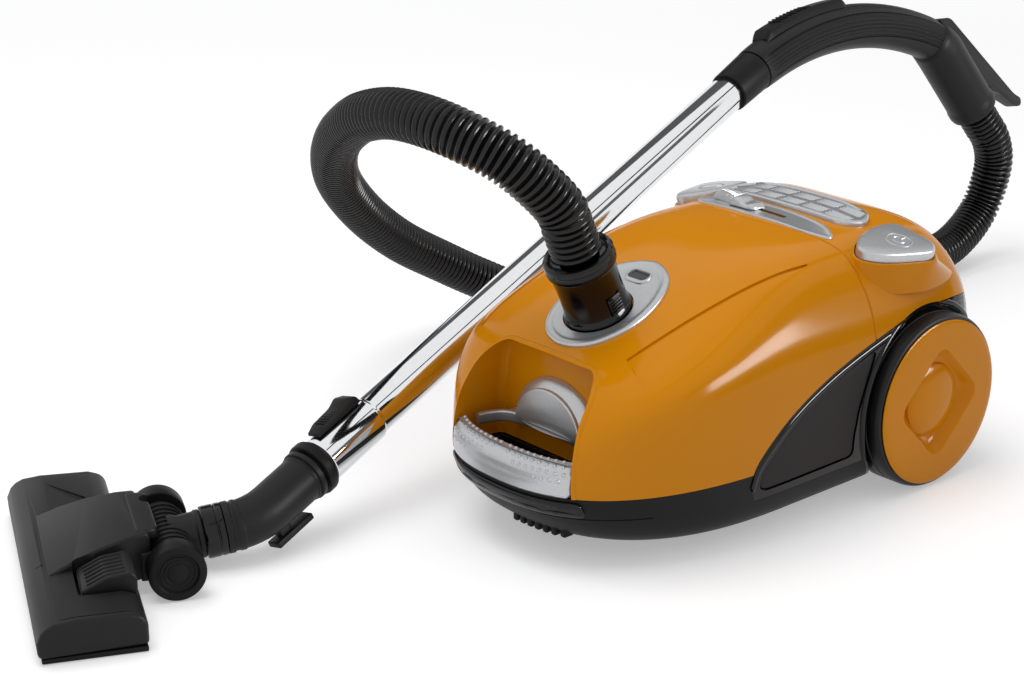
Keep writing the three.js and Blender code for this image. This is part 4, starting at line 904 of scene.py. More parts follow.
# The black side cover's outline as [y, z], then the inlay in front of the wheel.
SIDE_CURVE = [
    (-207, 52), (-203, 68), (-180, 92), (-156, 107.5), (-128, 120.5), (-101, 130), (-60, 141), (-20, 149.5),
    (20, 152), (55, 149), (90, 139),
]
SIDE_OUTLINE = [*spline(SIDE_CURVE, 60), (112, 128), (112, 38), (-200, 38)]
INLAY_OUTLINE = rounded([
    (-197, 49), (-196, 62), (-172, 86), (-150, 101), (-122, 114), (-98, 122.5), (-66, 132), (-76, 112),
    (-86, 86), (-90, 62), (-88, 46), (-190, 45),
], 7)


SIDE_END = 220
BEAD_FACE = 60  # the beads on the cover's edges are kept from this x outwards
WHEEL_AXIS = Matrix.Translation((0, 0, WHEEL_RADIUS)) @ Z_ONTO_X


def beyond(hand, outline, inner):
    """All that lies past a side's inner x within an outline."""
    return handed(prism("beyond", "x", outline, inner, SIDE_END), hand)


def wheel_hole(hand, radius, inner):
    return handed(moved(rod("hole", radius, inner, SIDE_END, 72), WHEEL_AXIS), hand)


def side_openings():
    """The cutters that make room for the side covers and the wheels."""
    pieces = []
    for hand, _ in SIDES:
        pieces.append(beyond(hand, grown(SIDE_OUTLINE, 0.4), SIDE_FACE))
        pieces.append(wheel_hole(hand, WELL_RADIUS + 2.8, SIDE_FACE - 3.3))
    return pieces


# Outlines on the canister: the alcove as [x, z], and the others as [x, y].
ALCOVE_OUTLINE = rounded([
    (-70, 30), (70, 30), (68, 100), (63, 136), (52, 150), (-52, 150), (-63, 136), (-68, 100)], 14)
POWER_PEDAL = Matrix.Translation((100, -28, 200)) @ Matrix.Rotation(math.radians(13), 4, "Y")
PEDAL_OUTLINE = spline([
    (-12, -24), (0, -33), (12, -24), (24, 4), (28, 26), (18, 36), (-4, 36), (-20, 32), (-24, 14), (-20, -8),
], 72, closed=True)
INLET_OUTLINE = spline([
    (0, -292), (26, -283), (41, -258), (41, -228), (27, -200), (0, -187), (-27, -200), (-41, -228),
    (-41, -258), (-26, -283),
], 120, closed=True)
PANEL_OUTLINE = spline([
    (-74, -65), (-60, -76), (-24, -80), (24, -80), (60, -76), (74, -65), (60, -54), (24, -49.5),
    (-24, -49.5), (-60, -54),
], 120, closed=True)
GRILLE_OUTLINE = spline([
    (-70, -22), (-60, -38), (-30, -43), (30, -43), (60, -38), (70, -22), (62, -6), (36, 2), (-36, 2),
    (-62, -6),
], 120, closed=True)
CUFF_LOCAL = CANISTER.inverted() @ CUFF


def cuff_rod(radius, low, high):
    """A rod on the cuff's axis, from one distance along it to another."""
    return moved(rod("cuff_rod", radius, low, high, 72), CUFF_LOCAL)


def pedal_hole(hand):
    """The cutter that gives a pedal room all round."""
    play, low, high = 0.8, -8, 60
    hole = prism("pedal_hole", "z", grown(PEDAL_OUTLINE, play), low, high)
    return handed(moved(hole, POWER_PEDAL), hand)


def slider_slot(low):
    """The slot that the slider's stem runs in, cut from a height upwards."""
    return block("slot", -40, 24, -67.6, -62.4, low, ABOVE)


# ---------------------------------------------------------------- camera and hose

# The camera that was fitted to the photograph: its place is in the canister's frame.
CAMERA_AZIMUTH, CAMERA_ELEVATION = math.radians(48.79032793), math.radians(20)
CAMERA_PLACE = Vector((1201.82, -1393.37, 752.44))
FOCAL_PIXELS = 2247.1
SENSOR_WIDTH = 36


class CLEANER_OT_camera(bpy.types.Operator):
    """Places the camera where the photograph was taken from"""
    bl_idname = "cleaner.camera"
    bl_label = "Camera"

    def execute(self, context):
        sine, cosine = math.sin(CAMERA_AZIMUTH), math.cos(CAMERA_AZIMUTH)
        flat = math.cos(CAMERA_ELEVATION)
        back = Vector((sine * flat, -cosine * flat, math.sin(CAMERA_ELEVATION)))
        right = Vector((cosine, sine, 0))
        data = bpy.data.cameras.new("camera")
        camera = bpy.data.objects.new("camera", data)
        context.collection.objects.link(camera)
        camera.matrix_world = along_axes((CANISTER @ CAMERA_PLACE) * MM, right, back.cross(right), back)
        data.sensor_width = SENSOR_WIDTH
        data.lens = FOCAL_PIXELS * SENSOR_WIDTH / PHOTO_WIDTH
        data.clip_end = 60
        context.scene.camera = camera
        return {"FINISHED"}


# The hose's route, given in the canister's frame.
HOSE_ROUTE = [
    (0, -274.7, 226.8), (0, -280.4, 239.6), (0, -286.1, 252.4), (0, -291.4, 264.3), (-18, -323, 301),
    (-61, -348, 323), (-116, -353, 326), (-170, -344, 313), (-218, -326, 292), (-263, -304, 267),
    (-304, -278, 238), (-339, -248, 207), (-366, -212, 174), (-387, -172, 141), (-400, -128, 109),
    (-404, -80, 80), (-399, -32, 52), (-385, 16, 28), (-360, 65, 21), (-332, 113, 21), (-301, 160, 21),
    (-271, 208, 21), (-245, 257, 21), (-225, 309, 21), (-214, 364, 21), (-212, 420, 21), (-216, 476, 27),
    (-219, 522, 56), (-213, 533, 108), (-212.5, 521.9, 137.7), (-214.4, 514.3, 148), (-216.3, 506, 159.2),
    (-218.3, 497.8, 170.4),
]


# One rib: a rounded crest and a narrow valley, as (share of the pitch, share of the depth).
RIB = ((0.0, 1.0), (0.16, 0.72), (0.3, 0.12), (0.5, 0.0), (0.7, 0.12), (0.84, 0.72))


class CLEANER_OT_hose(bpy.types.Operator):
    """Makes the ribbed hose along its route, from the cuff to the handle"""
    bl_idname = "cleaner.hose"
    bl_label = "Hose"

    def execute(self, context):
        sizes = settings().hose
        radius, bore, depth = sizes.diameter / MM / 2, sizes.bore / MM / 2, sizes.depth / MM
        around = 26
        line = spline(HOSE_ROUTE, 2400)
        run = float(np.linalg.norm(np.diff(line, axis=0), axis=1).sum())
        ribs = round(run / (sizes.pitch / MM))
        shares = [(i + at) / ribs for i in range(ribs) for at, _ in RIB] + [1.0]
        reaches = [radius - depth * low for _ in range(ribs) for _, low in RIB] + [radius - depth]
        fine = evenly(line, 4000)
        positions = np.array(shares) * (len(fine) - 1)
        centres = np.column_stack([np.interp(positions, np.arange(len(fine)), fine[:, k]) for k in range(3)])
        outside = carried(centres, [circle(reach, around) for reach in reaches], (1, 0, 0))
        middle = evenly(line, 160)
        inside = carried(middle, [circle(bore, around)] * len(middle), (1, 0, 0))
        piece = wrapped("suction_hose_ribbed", np.concatenate([outside, inside[::-1], outside[:1]]), "ring")
        finished(piece, None, hose_vinyl(), ["suction_hose"], slot="hose_black", smooth=60)
        path = [tuple((CANISTER @ Vector(p)) * MM) for p in evenly(line, 240)]
        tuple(path[0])
        lid_side, handle_side = (CANISTER @ Vector(p) * MM for p in ((129, -172, 200), (-30, 40, 200)))
        tuple(lid_side)
        tuple(handle_side)
        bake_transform(piece)
        return {"FINISHED"}


# ---------------------------------------------------------------- canister shells

class CLEANER_OT_base(bpy.types.Operator):
    """Makes the black base with its finger pocket, castor well and front ridges"""
    bl_idname = "cleaner.base"
    bl_label = "Base"

    def execute(self, context):
        castor = Matrix.Translation((0, -270, 0))
        well, well_wall = 24, 3
        tub = common(FORM.solid(), slab("low", 0, SPLIT))
        cut(tub, common(FORM.solid(-3), slab("room", 13, 90)))
        pocket_walls = common(FORM.solid(), block("walls", -65, 65, AHEAD, -294, 37, SPLIT))
        united(tub, pocket_walls, moved(rod("well", well + well_wall, 10.2, 36 + well_wall), castor))
        outline = [(x, bar_back(x) + 1) for x in np.linspace(-62, 62, 17)] + [(62, -297), (-62, -297)]
        pocket = prism("pocket", "z", outline, 40, 90)
        cut(tub, pocket, moved(rod("well", well, 0, 36), castor), *side_openings())
        cut(tub, groove([FORM.ahead(x, 43.5) for x in np.linspace(-104, 104, 90)], 2.0, 1.2))
        ridges = []
        for k in range(7):  # short upright ridges under the front, to the right of the middle
            x = -4 + 8 * k
            front = FORM.ahead(x, 24)[0].y
            ridges.append(block("ridge", x - 2.8, x + 2.8, front - 0.5, front + 10, 18, 30, 1.6))
        joined(tub, *ridges)
        tub.name = "base_tub_fine"
        finished(tub, "canister", satin_abs(), ["base_tub"], slot="satin_black")
        return {"FINISHED"}


def bar_back(x):
    """The rear of the carrying bar, seen from above."""
    return -346 + 12 * (x / 68) ** 2


BAR_HALF, BAR_LOW, BAR_HIGH = 67.6, SPLIT + 0.4, 88
BAR_CORNER, BAR_NOSE = 5, 13
BAR_PROUD = 1.5  # how far the bar's face stands ahead of the form
# Rows of grip dots over the bar's nose: degrees from its top, and dots on each side.
DOT_ROWS = ((8, 10), (34, 9), (60, 8), (84, 4))
DOT_PITCH = 6.4


class CLEANER_OT_bar(bpy.types.Operator):
    """Makes the carrying bar with its grip dots, and the bumper below it"""
    bl_idname = "cleaner.bar"
    bl_label = "Carrying bar"

    def execute(self, context):
        bar = self.bar()
        joined(bar, *self.dots(settings().body.dot / MM))
        finished(bar, "canister", silver_paint(), ["handle_bar"], slot="silver_trim", smooth=40)
        outline = resampled(rounded([(-74, 46), (74, 46), (74, 59), (-74, 59)], 5), 200)
        bumper = draped("front_strip", outline, [
            (0, -0.5), (0, 1.2), (0.4, 2.0), (1.2, 2.6), (2.5, 2.9), (4.5, 3.0)], FORM.ahead, rings=3)
        finished(bumper, "canister", black_abs(), ["front_bumper"], slot="satin_black")
        return {"FINISHED"}

    def nose_point(self, x, angle):
        """The bar's rounded front, from its top at 0 to its upright face at a quarter turn."""
        front = FORM.ahead(x, BAR_HIGH - BAR_NOSE)[0].y - BAR_PROUD
        return front + BAR_NOSE * (1 - math.sin(angle)), BAR_HIGH - BAR_NOSE * (1 - math.cos(angle))

    def bar(self):
        rings = []
        for x in np.linspace(-BAR_HALF, BAR_HALF, 61):
            back = bar_back(x)
            section = []
            for angle in np.linspace(0, math.pi / 2, 9):  # up the back and over the rear corner
                section.append((back - BAR_CORNER * (1 - math.cos(angle)),
                                BAR_HIGH - BAR_CORNER * (1 - math.sin(angle))))
            for angle in np.linspace(0, math.pi / 2, 13):
                section.append(self.nose_point(x, angle))
            for k in range(1, 6):  # down the face
                z = BAR_HIGH - BAR_NOSE + (BAR_LOW + 1.5 - BAR_HIGH + BAR_NOSE) * k / 5
                section.append((FORM.ahead(x, z)[0].y - BAR_PROUD, z))
            section.append((FORM.ahead(x, BAR_LOW)[0].y - 0.2, BAR_LOW))
            section += [(back - 1.5, BAR_LOW), (back, BAR_LOW + 1.5)]
            heart_y, heart_z = sum(y for y, _ in section) / len(section), (BAR_LOW + BAR_HIGH) / 2
            fade = min(1, (BAR_HALF - abs(x)) / 2.5) ** 0.5  # the ends are rounded off
            size = 1 - (1 - fade) * 0.25
            rings.append([(x, heart_y + (y - heart_y) * size, heart_z + (z - heart_z) * size)
                          for y, z in section])
        return wrapped("carrying_bar", rings, "filled")

    def dots(self, size):
        dots = []
        for row, (degrees, columns) in enumerate(DOT_ROWS):
            for column in range(columns):
                for hand, _ in SIDES:
                    x = hand * (63 - DOT_PITCH * (column + row % 2 / 2))
                    y, z = self.nose_point(x, math.radians(degrees))
                    start()
                    bpy.ops.mesh.primitive_ico_sphere_add(subdivisions=2, radius=size / 2)
                    dots.append(moved(new_piece("dot"), Matrix.Translation((x, y + 0.4, z - 0.4))))
        return dots


# The pressed facet on each shoulder of the lid, as [x, y] seen from above, from its tip to its blunt front.
FACET_INNER = [(89.1, -110.5), (84.9, -155.2), (79.4, -194.8), (72.4, -231.8), (63.4, -281.8)]
FACET_OUTER = [(90.1, -110.5), (93.5, -138.8), (97.4, -172.3), (99.9, -219.5), (98.9, -261.9), (93.3, -293.1)]


# The facet's floor, as (share of the way from its inner to its outer edge, height over the form).
FACET_FLOOR = ((0, 5), (0, -1.95), (0.25, -1.7), (0.5, -1.5), (0.75, -1.3), (1, -1.15), (1, 5))


def facet(hand):
    """A cutter whose floor falls from the facet's outer edge to its deeper inner edge."""
    rings = []
    for inner, outer in zip(spline(FACET_INNER, 60), spline(FACET_OUTER, 60)):
        ring = []
        for share, height in FACET_FLOOR:
            x, y = inner + (outer - inner) * share
            place, normal = FORM.top(hand * x, y)
            ring.append(place + normal * height)
        rings.append(ring)
    return wrapped("facet", rings, "filled")


# Half of the alcove's rolled rim, as [x, z] from the foot on its left to its middle.
RIM_HALF = [(-70, 40), (-68.5, 80), (-66.5, 112), (-62.5, 136), (-52, 148.5), (-30, 150.5), (0, 151)]
HINGE_Y, HINGE_Z, HINGE_EYE = -66, 208, 4.6


class CLEANER_OT_lid(bpy.types.Operator):
    """Makes the amber lid with its alcove, rolled rim and pressed facets"""
    bl_idname = "cleaner.lid"
    bl_label = "Lid"

    def execute(self, context):
        sizes = settings().body
        wall = sizes.wall / MM
        lid = cut(FORM.solid(), FORM.solid(-wall))
        liner = common(
            FORM.solid(-0.4),
            prism("liner", "y", grown(ALCOVE_OUTLINE, wall), AHEAD, ALCOVE_BACK + wall, 12, 5))
        seat = common(cuff_rod(31.3, -3, 30), FORM.solid(-0.2))
        united(lid, liner, seat, cuff_rod(22, -14, 0))
        common(lid, beside_seam(-sizes.seam / MM / 2, AHEAD))
        united(lid, self.arm(-42), self.arm(42))
        united(lid, common(self.bead(sizes.rim / MM), slab("high", SPLIT + 0.4, ABOVE, 0)))
        alcove = prism("alcove", "y", ALCOVE_OUTLINE, AHEAD, ALCOVE_BACK, 11, 5)
        cut(lid, alcove, cuff_rod(28.8, 1, 60), cuff_rod(18.8, -60, 60), facet(-1), facet(1))
        cut(lid, seam_groove(), *side_openings())
        lid.name = "lid_fine"
        finished(lid, "lid", amber_abs(), ["lid"], slot="amber_shell", smooth=28)
        return {"FINISHED"}

    def arm(self, x):
        """One of the two hinge arms below the crown."""
        half = 5
        arm = prism("arm", "x", [
            (-69.6, 208), (-62.4, 208), (-62.4, 183), (-96, 183), (-100, 188), (-100, 220), (-91, 220),
            (-91, 194), (-88, 191), (-69.6, 191)], x - half, x + half)
        eye = rod("eye", HINGE_EYE, x - half, x + half, 32)
        moved(eye, Matrix.Translation((0, HINGE_Y, HINGE_Z)) @ Z_ONTO_X)
        return common(united(arm, eye), FORM.solid(-1))

    def bead(self, radius):
        """The rolled rim round the alcove, which stands a little proud of the form."""
        proud = 1.1
        line = []
        for x, z in spline(RIM_HALF + [(-x, z) for x, z in RIM_HALF[-2::-1]], 160):
            place, normal = FORM.ahead(x, z)
            line.append(tuple(place - normal * (radius - proud)))
        return swept("rim", line, lambda share: circle(radius, 20))


# The pedal's seat from its top down, as (height, reach rearwards, edge round the pedal).
SHOULDER_STEPS = ((0.6, 0, 1.6), (0.2, 0.6, 2.2), (-1.2, 2, 2.6), (-6, 6, 3), (-14, 16, 3.6), (-26, 34, 4))


def pedal_shoulder(hand):
    """The raised amber seat that a pedal stands on, drawn out rearwards into the shell."""
    outwards = grown(PEDAL_OUTLINE, 1) - PEDAL_OUTLINE
    rearwards = np.clip(outwards[:, 1:], 0, 1)
    rings = []
    for height, drawn, edge in SHOULDER_STEPS:
        ring = PEDAL_OUTLINE + outwards * edge + rearwards * (0, drawn)
        rings.append([(x, y, height) for x, y in ring])
    shoulder = moved(wrapped("shoulder", rings, "filled"), POWER_PEDAL)
    return cut(handed(shoulder, hand), FORM.solid(-1.5))


class CLEANER_OT_rear_shell(bpy.types.Operator):
    """Makes the amber rear shell with the pockets for the pedals"""
    bl_idname = "cleaner.rear_shell"
    bl_label = "Rear shell"

    def execute(self, context):
        sizes = settings().body
        shell = cut(FORM.solid(), FORM.solid(-sizes.wall / MM))
        united(shell, pedal_shoulder(-1), pedal_shoulder(1))
        common(shell, beside_seam(sizes.seam / MM / 2, 260))
        cut(shell, seam_groove(), *side_openings())
        cut(shell, pedal_hole(-1), pedal_hole(1))
        cut(shell, block("air", -64, 64, -36, -6, 195, ABOVE), slider_slot(195))
        cut(shell, moved(rod("outlet", 8.3, 40, 120), Matrix.Translation((40, 0, 40)) @ Z_ONTO_Y))
        shell.name = "rear_shell_fine"
        finished(shell, "canister", amber_abs(), ["rear_shell"], slot="amber_shell", smooth=28)
        return {"FINISHED"}


class CLEANER_OT_latch(bpy.types.Operator):
    """Makes the domed latch lever with the pull band across its foot"""
    bl_idname = "cleaner.latch"
    bl_label = "Latch"

    def execute(self, context):
        foot = 88
        back = ALCOVE_BACK - 0.3
        start()
        bpy.ops.mesh.primitive_uv_sphere_add(segments=96, ring_count=48, radius=1)
        dome = new_piece("latch_dome")
        moved(dome, Matrix.Translation((0, back, foot)) @ Matrix.Diagonal((46, 17, 39.4, 1)))
        common(dome, block("front", -60, 60, -340, back, 87, 160))
        # A smaller dome, set forwards, is taken out of its face and leaves a rim.
        recess = moved(
            copied(dome, "latch_recess"),
            Matrix.Translation((0, ALCOVE_BACK - 3, foot)) @ Matrix.Diagonal((0.87, 1, 0.86, 1))
            @ Matrix.Translation((0, -ALCOVE_BACK, -foot)))
        cut(dome, recess)
        half_disc = [(37 * math.cos(a), 87.5 + 33 * math.sin(a)) for a in np.linspace(0, math.pi, 40)]
        inner = common(
            prism("latch_face", "y", half_disc, ALCOVE_BACK - 13.5, back, 1.2),
            block("all", -60, 60, -340, back, 80, 160))
        plan = [
            (-58, -326), (-56, -316), (-50, -305), (-36, -299.5), (0, -298), (36, -299.5), (50, -305),
            (56, -316), (58, -326)]
        band_section = rounded([(-2.6, -4.5), (2.6, -4.5), (2.6, 4.5), (-2.6, 4.5)], 1.6, 4)
        middle = spline([(x, y, 85.5) for x, y in plan], 80)
        band = swept("band", middle, lambda share: band_section, (0, 1, 0))
        shelf = prism("shelf", "z", [
            (-50, -293), (-50, -303), (-36, -297.5), (0, -296), (36, -297.5), (50, -303), (50, -293)],
            84, 89.4, 0.8)
        joined(dome, inner, band, shelf)
        finished(dome, "latch", silver_paint(), ["latch_lever"], slot="silver_trim", smooth=35)
        return {"FINISHED"}


class CLEANER_OT_inlet(bpy.types.Operator):
    """Makes the inlet plate, its window, and the cuff with its buttons"""
    bl_idname = "cleaner.inlet"
    bl_label = "Inlet and cuff"

    def execute(self, context):
        self.plate()
        self.cuff()
        for hand, word in SIDES:
            self.button(hand, f"cuff_button_{word}")
        return {"FINISHED"}

    def plate(self):
        plate = draped("inlet_plate_fine", INLET_OUTLINE, [
            (0, -0.6), (0, 1.6), (0.3, 2.5), (1.0, 3.1), (2.2, 3.5), (4.2, 3.5), (5.6, 3.1), (6.4, 2.5),
            (7.2, 2.2), (9, 2.1)], FORM.top, hub=(0, -245))
        window = resampled(rounded([(-10, -212.5), (10, -212.5), (10, -202.5), (-10, -202.5)], 4.9), 64)
        united(plate, draped("window_frame", grown(window, 2.2), [
            (0, 1.5), (0, 2.4), (0.4, 3.0), (1.1, 3.2)], FORM.top))
        cut(plate, prism("window_hole", "z", window, 150, ABOVE), cuff_rod(28.8, -30, 60))
        finished(plate, "lid", silver_paint(), ["inlet_plate"], slot="silver_trim", smooth=40)
        lens = draped("indicator_lens", grown(window, -0.3), [
            (0, 0.4), (0, 1.9), (0.5, 2.4), (1.4, 2.6)], FORM.top)
        finished(lens, "lid", smoked_window(), ["indicator_window"], slot="smoked")

    def cuff(self):
        cuff = turned("cuff", [
            (16.2, -30), (18, -30), (18, 2.6), (25.4, 2.6), (27.4, 3.6), (27.6, 8.6), (26.6, 10.4),
            (25.7, 13), (25.3, 30), (26.2, 49), (26.8, 50.4), (28.3, 51.6), (28.6, 54), (27.6, 55.4),
            (27.6, 57), (28.6, 58.2), (28.4, 61.4), (27.2, 62.9), (25.4, 63.4), (24.2, 62.4), (23.4, 60),
            (21.2, 58), (16.2, 56)])
        cut(cuff, *[handed(block("pocket", 21.5, 40, -7, 7, 12, 29), hand) for hand, _ in SIDES])
        finished(cuff, "cuff", black_abs(), ["hose_cuff"], CUFF, "gloss_black", smooth=30)

    def button(self, hand, node):
        parts = [block("button", 24, 26.6, -6.4, 6.4, 12.5, 27.6, 1.0, 2)]
        for k in range(5):
            low = 14.2 + 2.9 * k
            parts.append(block("rib", 25.5, 27.8, -5.6, 5.6, low, low + 1.3, 0.5, 2))
        button = handed(joined(*parts), hand)
        button.name = f"{node}_ribbed"
        finished(button, node, black_abs(), [node], CUFF, "satin_black")


def crown_at(x):
    """The height of the crown below the slider."""
    return 218 - x * x / 1120


# The lid's rear edge swings up past the knob's front left corner, so that corner is cut back along this line.
LID_PATH = [(-60, -63.8), (-52, -64.2), (-47, -65.2), (-41, -66.8), (-34, -69.6), (-26, -77)]
SLIDER_Y = -65
# The seat of the pedal's symbol, and the radius of its ring and of the line that draws it.
SYMBOL_X, SYMBOL_Y, SYMBOL_RADIUS, SYMBOL_LINE = 3, 10, 5.2, 0.55


class CLEANER_OT_top(bpy.types.Operator):
    """Makes the slider panel and its knob, the exhaust grille and the pedals"""
    bl_idname = "cleaner.top"
    bl_label = "Panel, grille and pedals"

    def execute(self, context):
        panel = draped("slider_plate", PANEL_OUTLINE, [
            (0, -0.5), (0, 0.9), (0.4, 1.4), (1.2, 1.7), (2.4, 1.7), (3.2, 1.3), (4.0, 1.0), (5.5, 0.9)],
            FORM.top, hub=(0, SLIDER_Y))
        cut(panel, slider_slot(190))
        finished(panel, "canister", silver_paint(), ["slider_panel"], slot="silver_trim", smooth=40)
        self.knob()
        self.grille()
        self.pedals()
        return {"FINISHED"}

    def knob(self):
        rings = []
        for share in np.linspace(0, 1, 37):
            x = -58 + 54 * share
            scoop = math.exp(-((share - 0.8) / 0.11) ** 2)
            rise = 8 - 4 * scoop - 3.4 * max(0, (share - 0.8) / 0.2) - 2 * max(0, (0.25 - share) / 0.25) ** 2
            half = 10 - 0.72 * (1 - share)
            ends = min(1, min(share, 1 - share) / 0.09) ** 0.5
            half, rise = half * (0.62 + 0.38 * ends), rise * (0.35 + 0.65 * ends)
            section = rounded([(-half, 0), (half, 0), (half - 2.2, rise), (-half + 2.2, rise)], 2.6, 4)
            rings.append([(x, SLIDER_Y + a, crown_at(x) + 1 + b) for a, b in section])
        knob = wrapped("slider_knob", rings, "filled")
        cut(knob, prism("lid_path", "z", LID_PATH + [(-60, -77)], 190, ABOVE))
        ribs = []
        for x in np.linspace(-49, -27, 7):
            front = max(-73, np.interp(x, *zip(*LID_PATH)) + 0.8)
            ribs.append(block("rib", x - 0.9, x + 0.9, front, -57, 223.5, crown_at(x) + 10, 0.8, 2))
        stem = block("stem", -36, -31, SLIDER_Y - 2, SLIDER_Y + 2, 206, 222)
        joined(knob, stem, *ribs)
        finished(knob, "suction_slider", silver_paint(), ["suction_slider"], slot="silver_trim", smooth=35)

    def grille(self):
        plate = draped("grille", GRILLE_OUTLINE, [
            (0, -0.5), (0, 2.8), (0.5, 3.8), (1.6, 4.4), (3.4, 4.4), (4.2, 3.6), (5, 3.2)],
            FORM.top, hub=(0, -20))
        pitch, slot_half, slot_depth = 25, 11, 12.5
        blades = []
        for y in (-36, -18):
            for column in range(-2, 3):
                x = column * pitch
                cut(plate, block("slot", x - slot_half, x + slot_half, y, y + slot_depth, 190, ABOVE, 1.0, 2))
                height, beside = (FORM.top(at, y + 6)[0].z for at in (x, x + 1))
                fall = math.atan(height - beside)
                lean = Matrix.Rotation(fall, 4, "Y") @ Matrix.Rotation(math.radians(38), 4, "X")
                for k in range(3):
                    blade = block("blade", -11.4, 11.4, -2.6, 2.6, -0.5, 0.5, 0.3, 2)
                    place = Matrix.Translation((x, y + 2.1 + 4.1 * k, height + 1.4))
                    blades.append(moved(blade, place @ lean))
        joined(plate, *blades)
        finished(plate, "canister", silver_paint(), ["exhaust_grille"], slot="silver_trim", smooth=35)

    def pedals(self):
        pedal = bevelled(prism("pedal", "z", PEDAL_OUTLINE, -3, 9), 2.6, 5, 50)
        disc = turned("symbol_seat", [
            (0, 7.6), (11.5, 7.6), (11.5, 9.25), (11, 9.6), (10.2, 9.6), (9.8, 9.2), (0, 9.15)])
        united(pedal, moved(disc, Matrix.Translation((SYMBOL_X, SYMBOL_Y, 0))))
        plain = moved(copied(pedal, "rewind_pedal_fine"), MIRROR_X)
        ring = [(SYMBOL_X + SYMBOL_RADIUS * math.cos(a), SYMBOL_Y + SYMBOL_RADIUS * math.sin(a), 9.3)
                for a in np.linspace(2.2, 7.2, 48)]
        bar = [(SYMBOL_X, SYMBOL_Y + reach, 9.3) for reach in (2.5, 5, 8)]
        joined(pedal, *[swept("line", line, lambda share: circle(SYMBOL_LINE, 10), (0, 0, 1))
                        for line in (ring, bar)])
        pedal.name = "power_pedal_fine"
        for piece, node, place in (
                (pedal, "power_pedal", CANISTER @ POWER_PEDAL),
                (plain, "rewind_pedal", CANISTER @ MIRROR_X @ POWER_PEDAL @ MIRROR_X)):
            finished(piece, node, silver_paint(), [node], place, "silver_trim", 35)


# ---------------------------------------------------------------- side covers and wheels

class CLEANER_OT_covers(bpy.types.Operator):
    """Makes the gloss black side covers with their wheel arches, and the matt inlays"""
    bl_idname = "cleaner.covers"
    bl_label = "Side covers"

    def execute(self, context):
        for hand, word in SIDES:
            self.cover(hand, word)
            self.inlay(hand, word)
        return {"FINISHED"}

    def cover(self, hand, word):
        skin = cut(FORM.solid(), FORM.solid(-6.5))
        common(skin, beyond(hand, SIDE_OUTLINE, SIDE_FACE))
        seat = beyond(hand, grown(INLAY_OUTLINE, 0.5), SIDE_FACE)
        cut(skin, cut(seat, FORM.solid(-4.1)))
        united(skin, common(wheel_hole(hand, WELL_RADIUS + 2.5, SIDE_FACE - 3), FORM.solid(0)))
        for bead in (self.lip(hand), self.arch(hand)):
            united(skin, common(bead, beyond(hand, SIDE_OUTLINE, BEAD_FACE)))
        behind = block("behind", -WIDE, WIDE, 83.5, BEHIND, 0, ABOVE)
        cut(skin, wheel_hole(hand, WELL_RADIUS, SIDE_FACE), behind, wheel_hole(hand, 5.3, 80))
        skin.name = f"side_cover_{word}"
        finished(skin, "canister", black_abs(), [f"arch_trim_{word}"], slot="gloss_black", smooth=30)

    def lip(self, hand):
        """The cover's rounded upper edge, which stands a little proud."""
        radius, sunk = 4.2, 2.6
        line = []
        for y, z in spline(SIDE_CURVE, 120):
            place, normal = FORM.side(y, z, hand)
            inwards = Vector((0, 0.45, -0.9)) if y < 20 else Vector((0, -0.2, -1)).normalized()
            line.append(tuple(place + inwards * radius - normal * sunk))
        return swept("lip", line, lambda share: circle(radius, 20))

    def arch(self, hand):
        """The rounded edge of the wheel's well."""
        radius, sunk = 3.1, 1.2
        reach = WELL_RADIUS + 2.6
        line = []
        for angle in np.linspace(math.radians(-20), math.radians(206), 100):
            y, z = reach * math.cos(angle), WHEEL_RADIUS + reach * math.sin(angle)
            line.append((hand * (abs(FORM.side(y, z, hand)[0].x) - sunk), y, z))
        return swept("arch", line, lambda share: circle(radius, 16))

    def inlay(self, hand, word):
        inlay = draped(f"inlay_{word}", grown(resampled(INLAY_OUTLINE, 180), -0.4), [
            (0, -3.8), (0, -1.6), (0.4, -1.0), (1.2, -0.8), (3, -0.8)],
            lambda y, z: FORM.side(y, z, hand), hub=(-128, 82))
        finished(inlay, "canister", inlay_abs(), [f"side_panel_{word}"], slot="warm_grey", smooth=40)


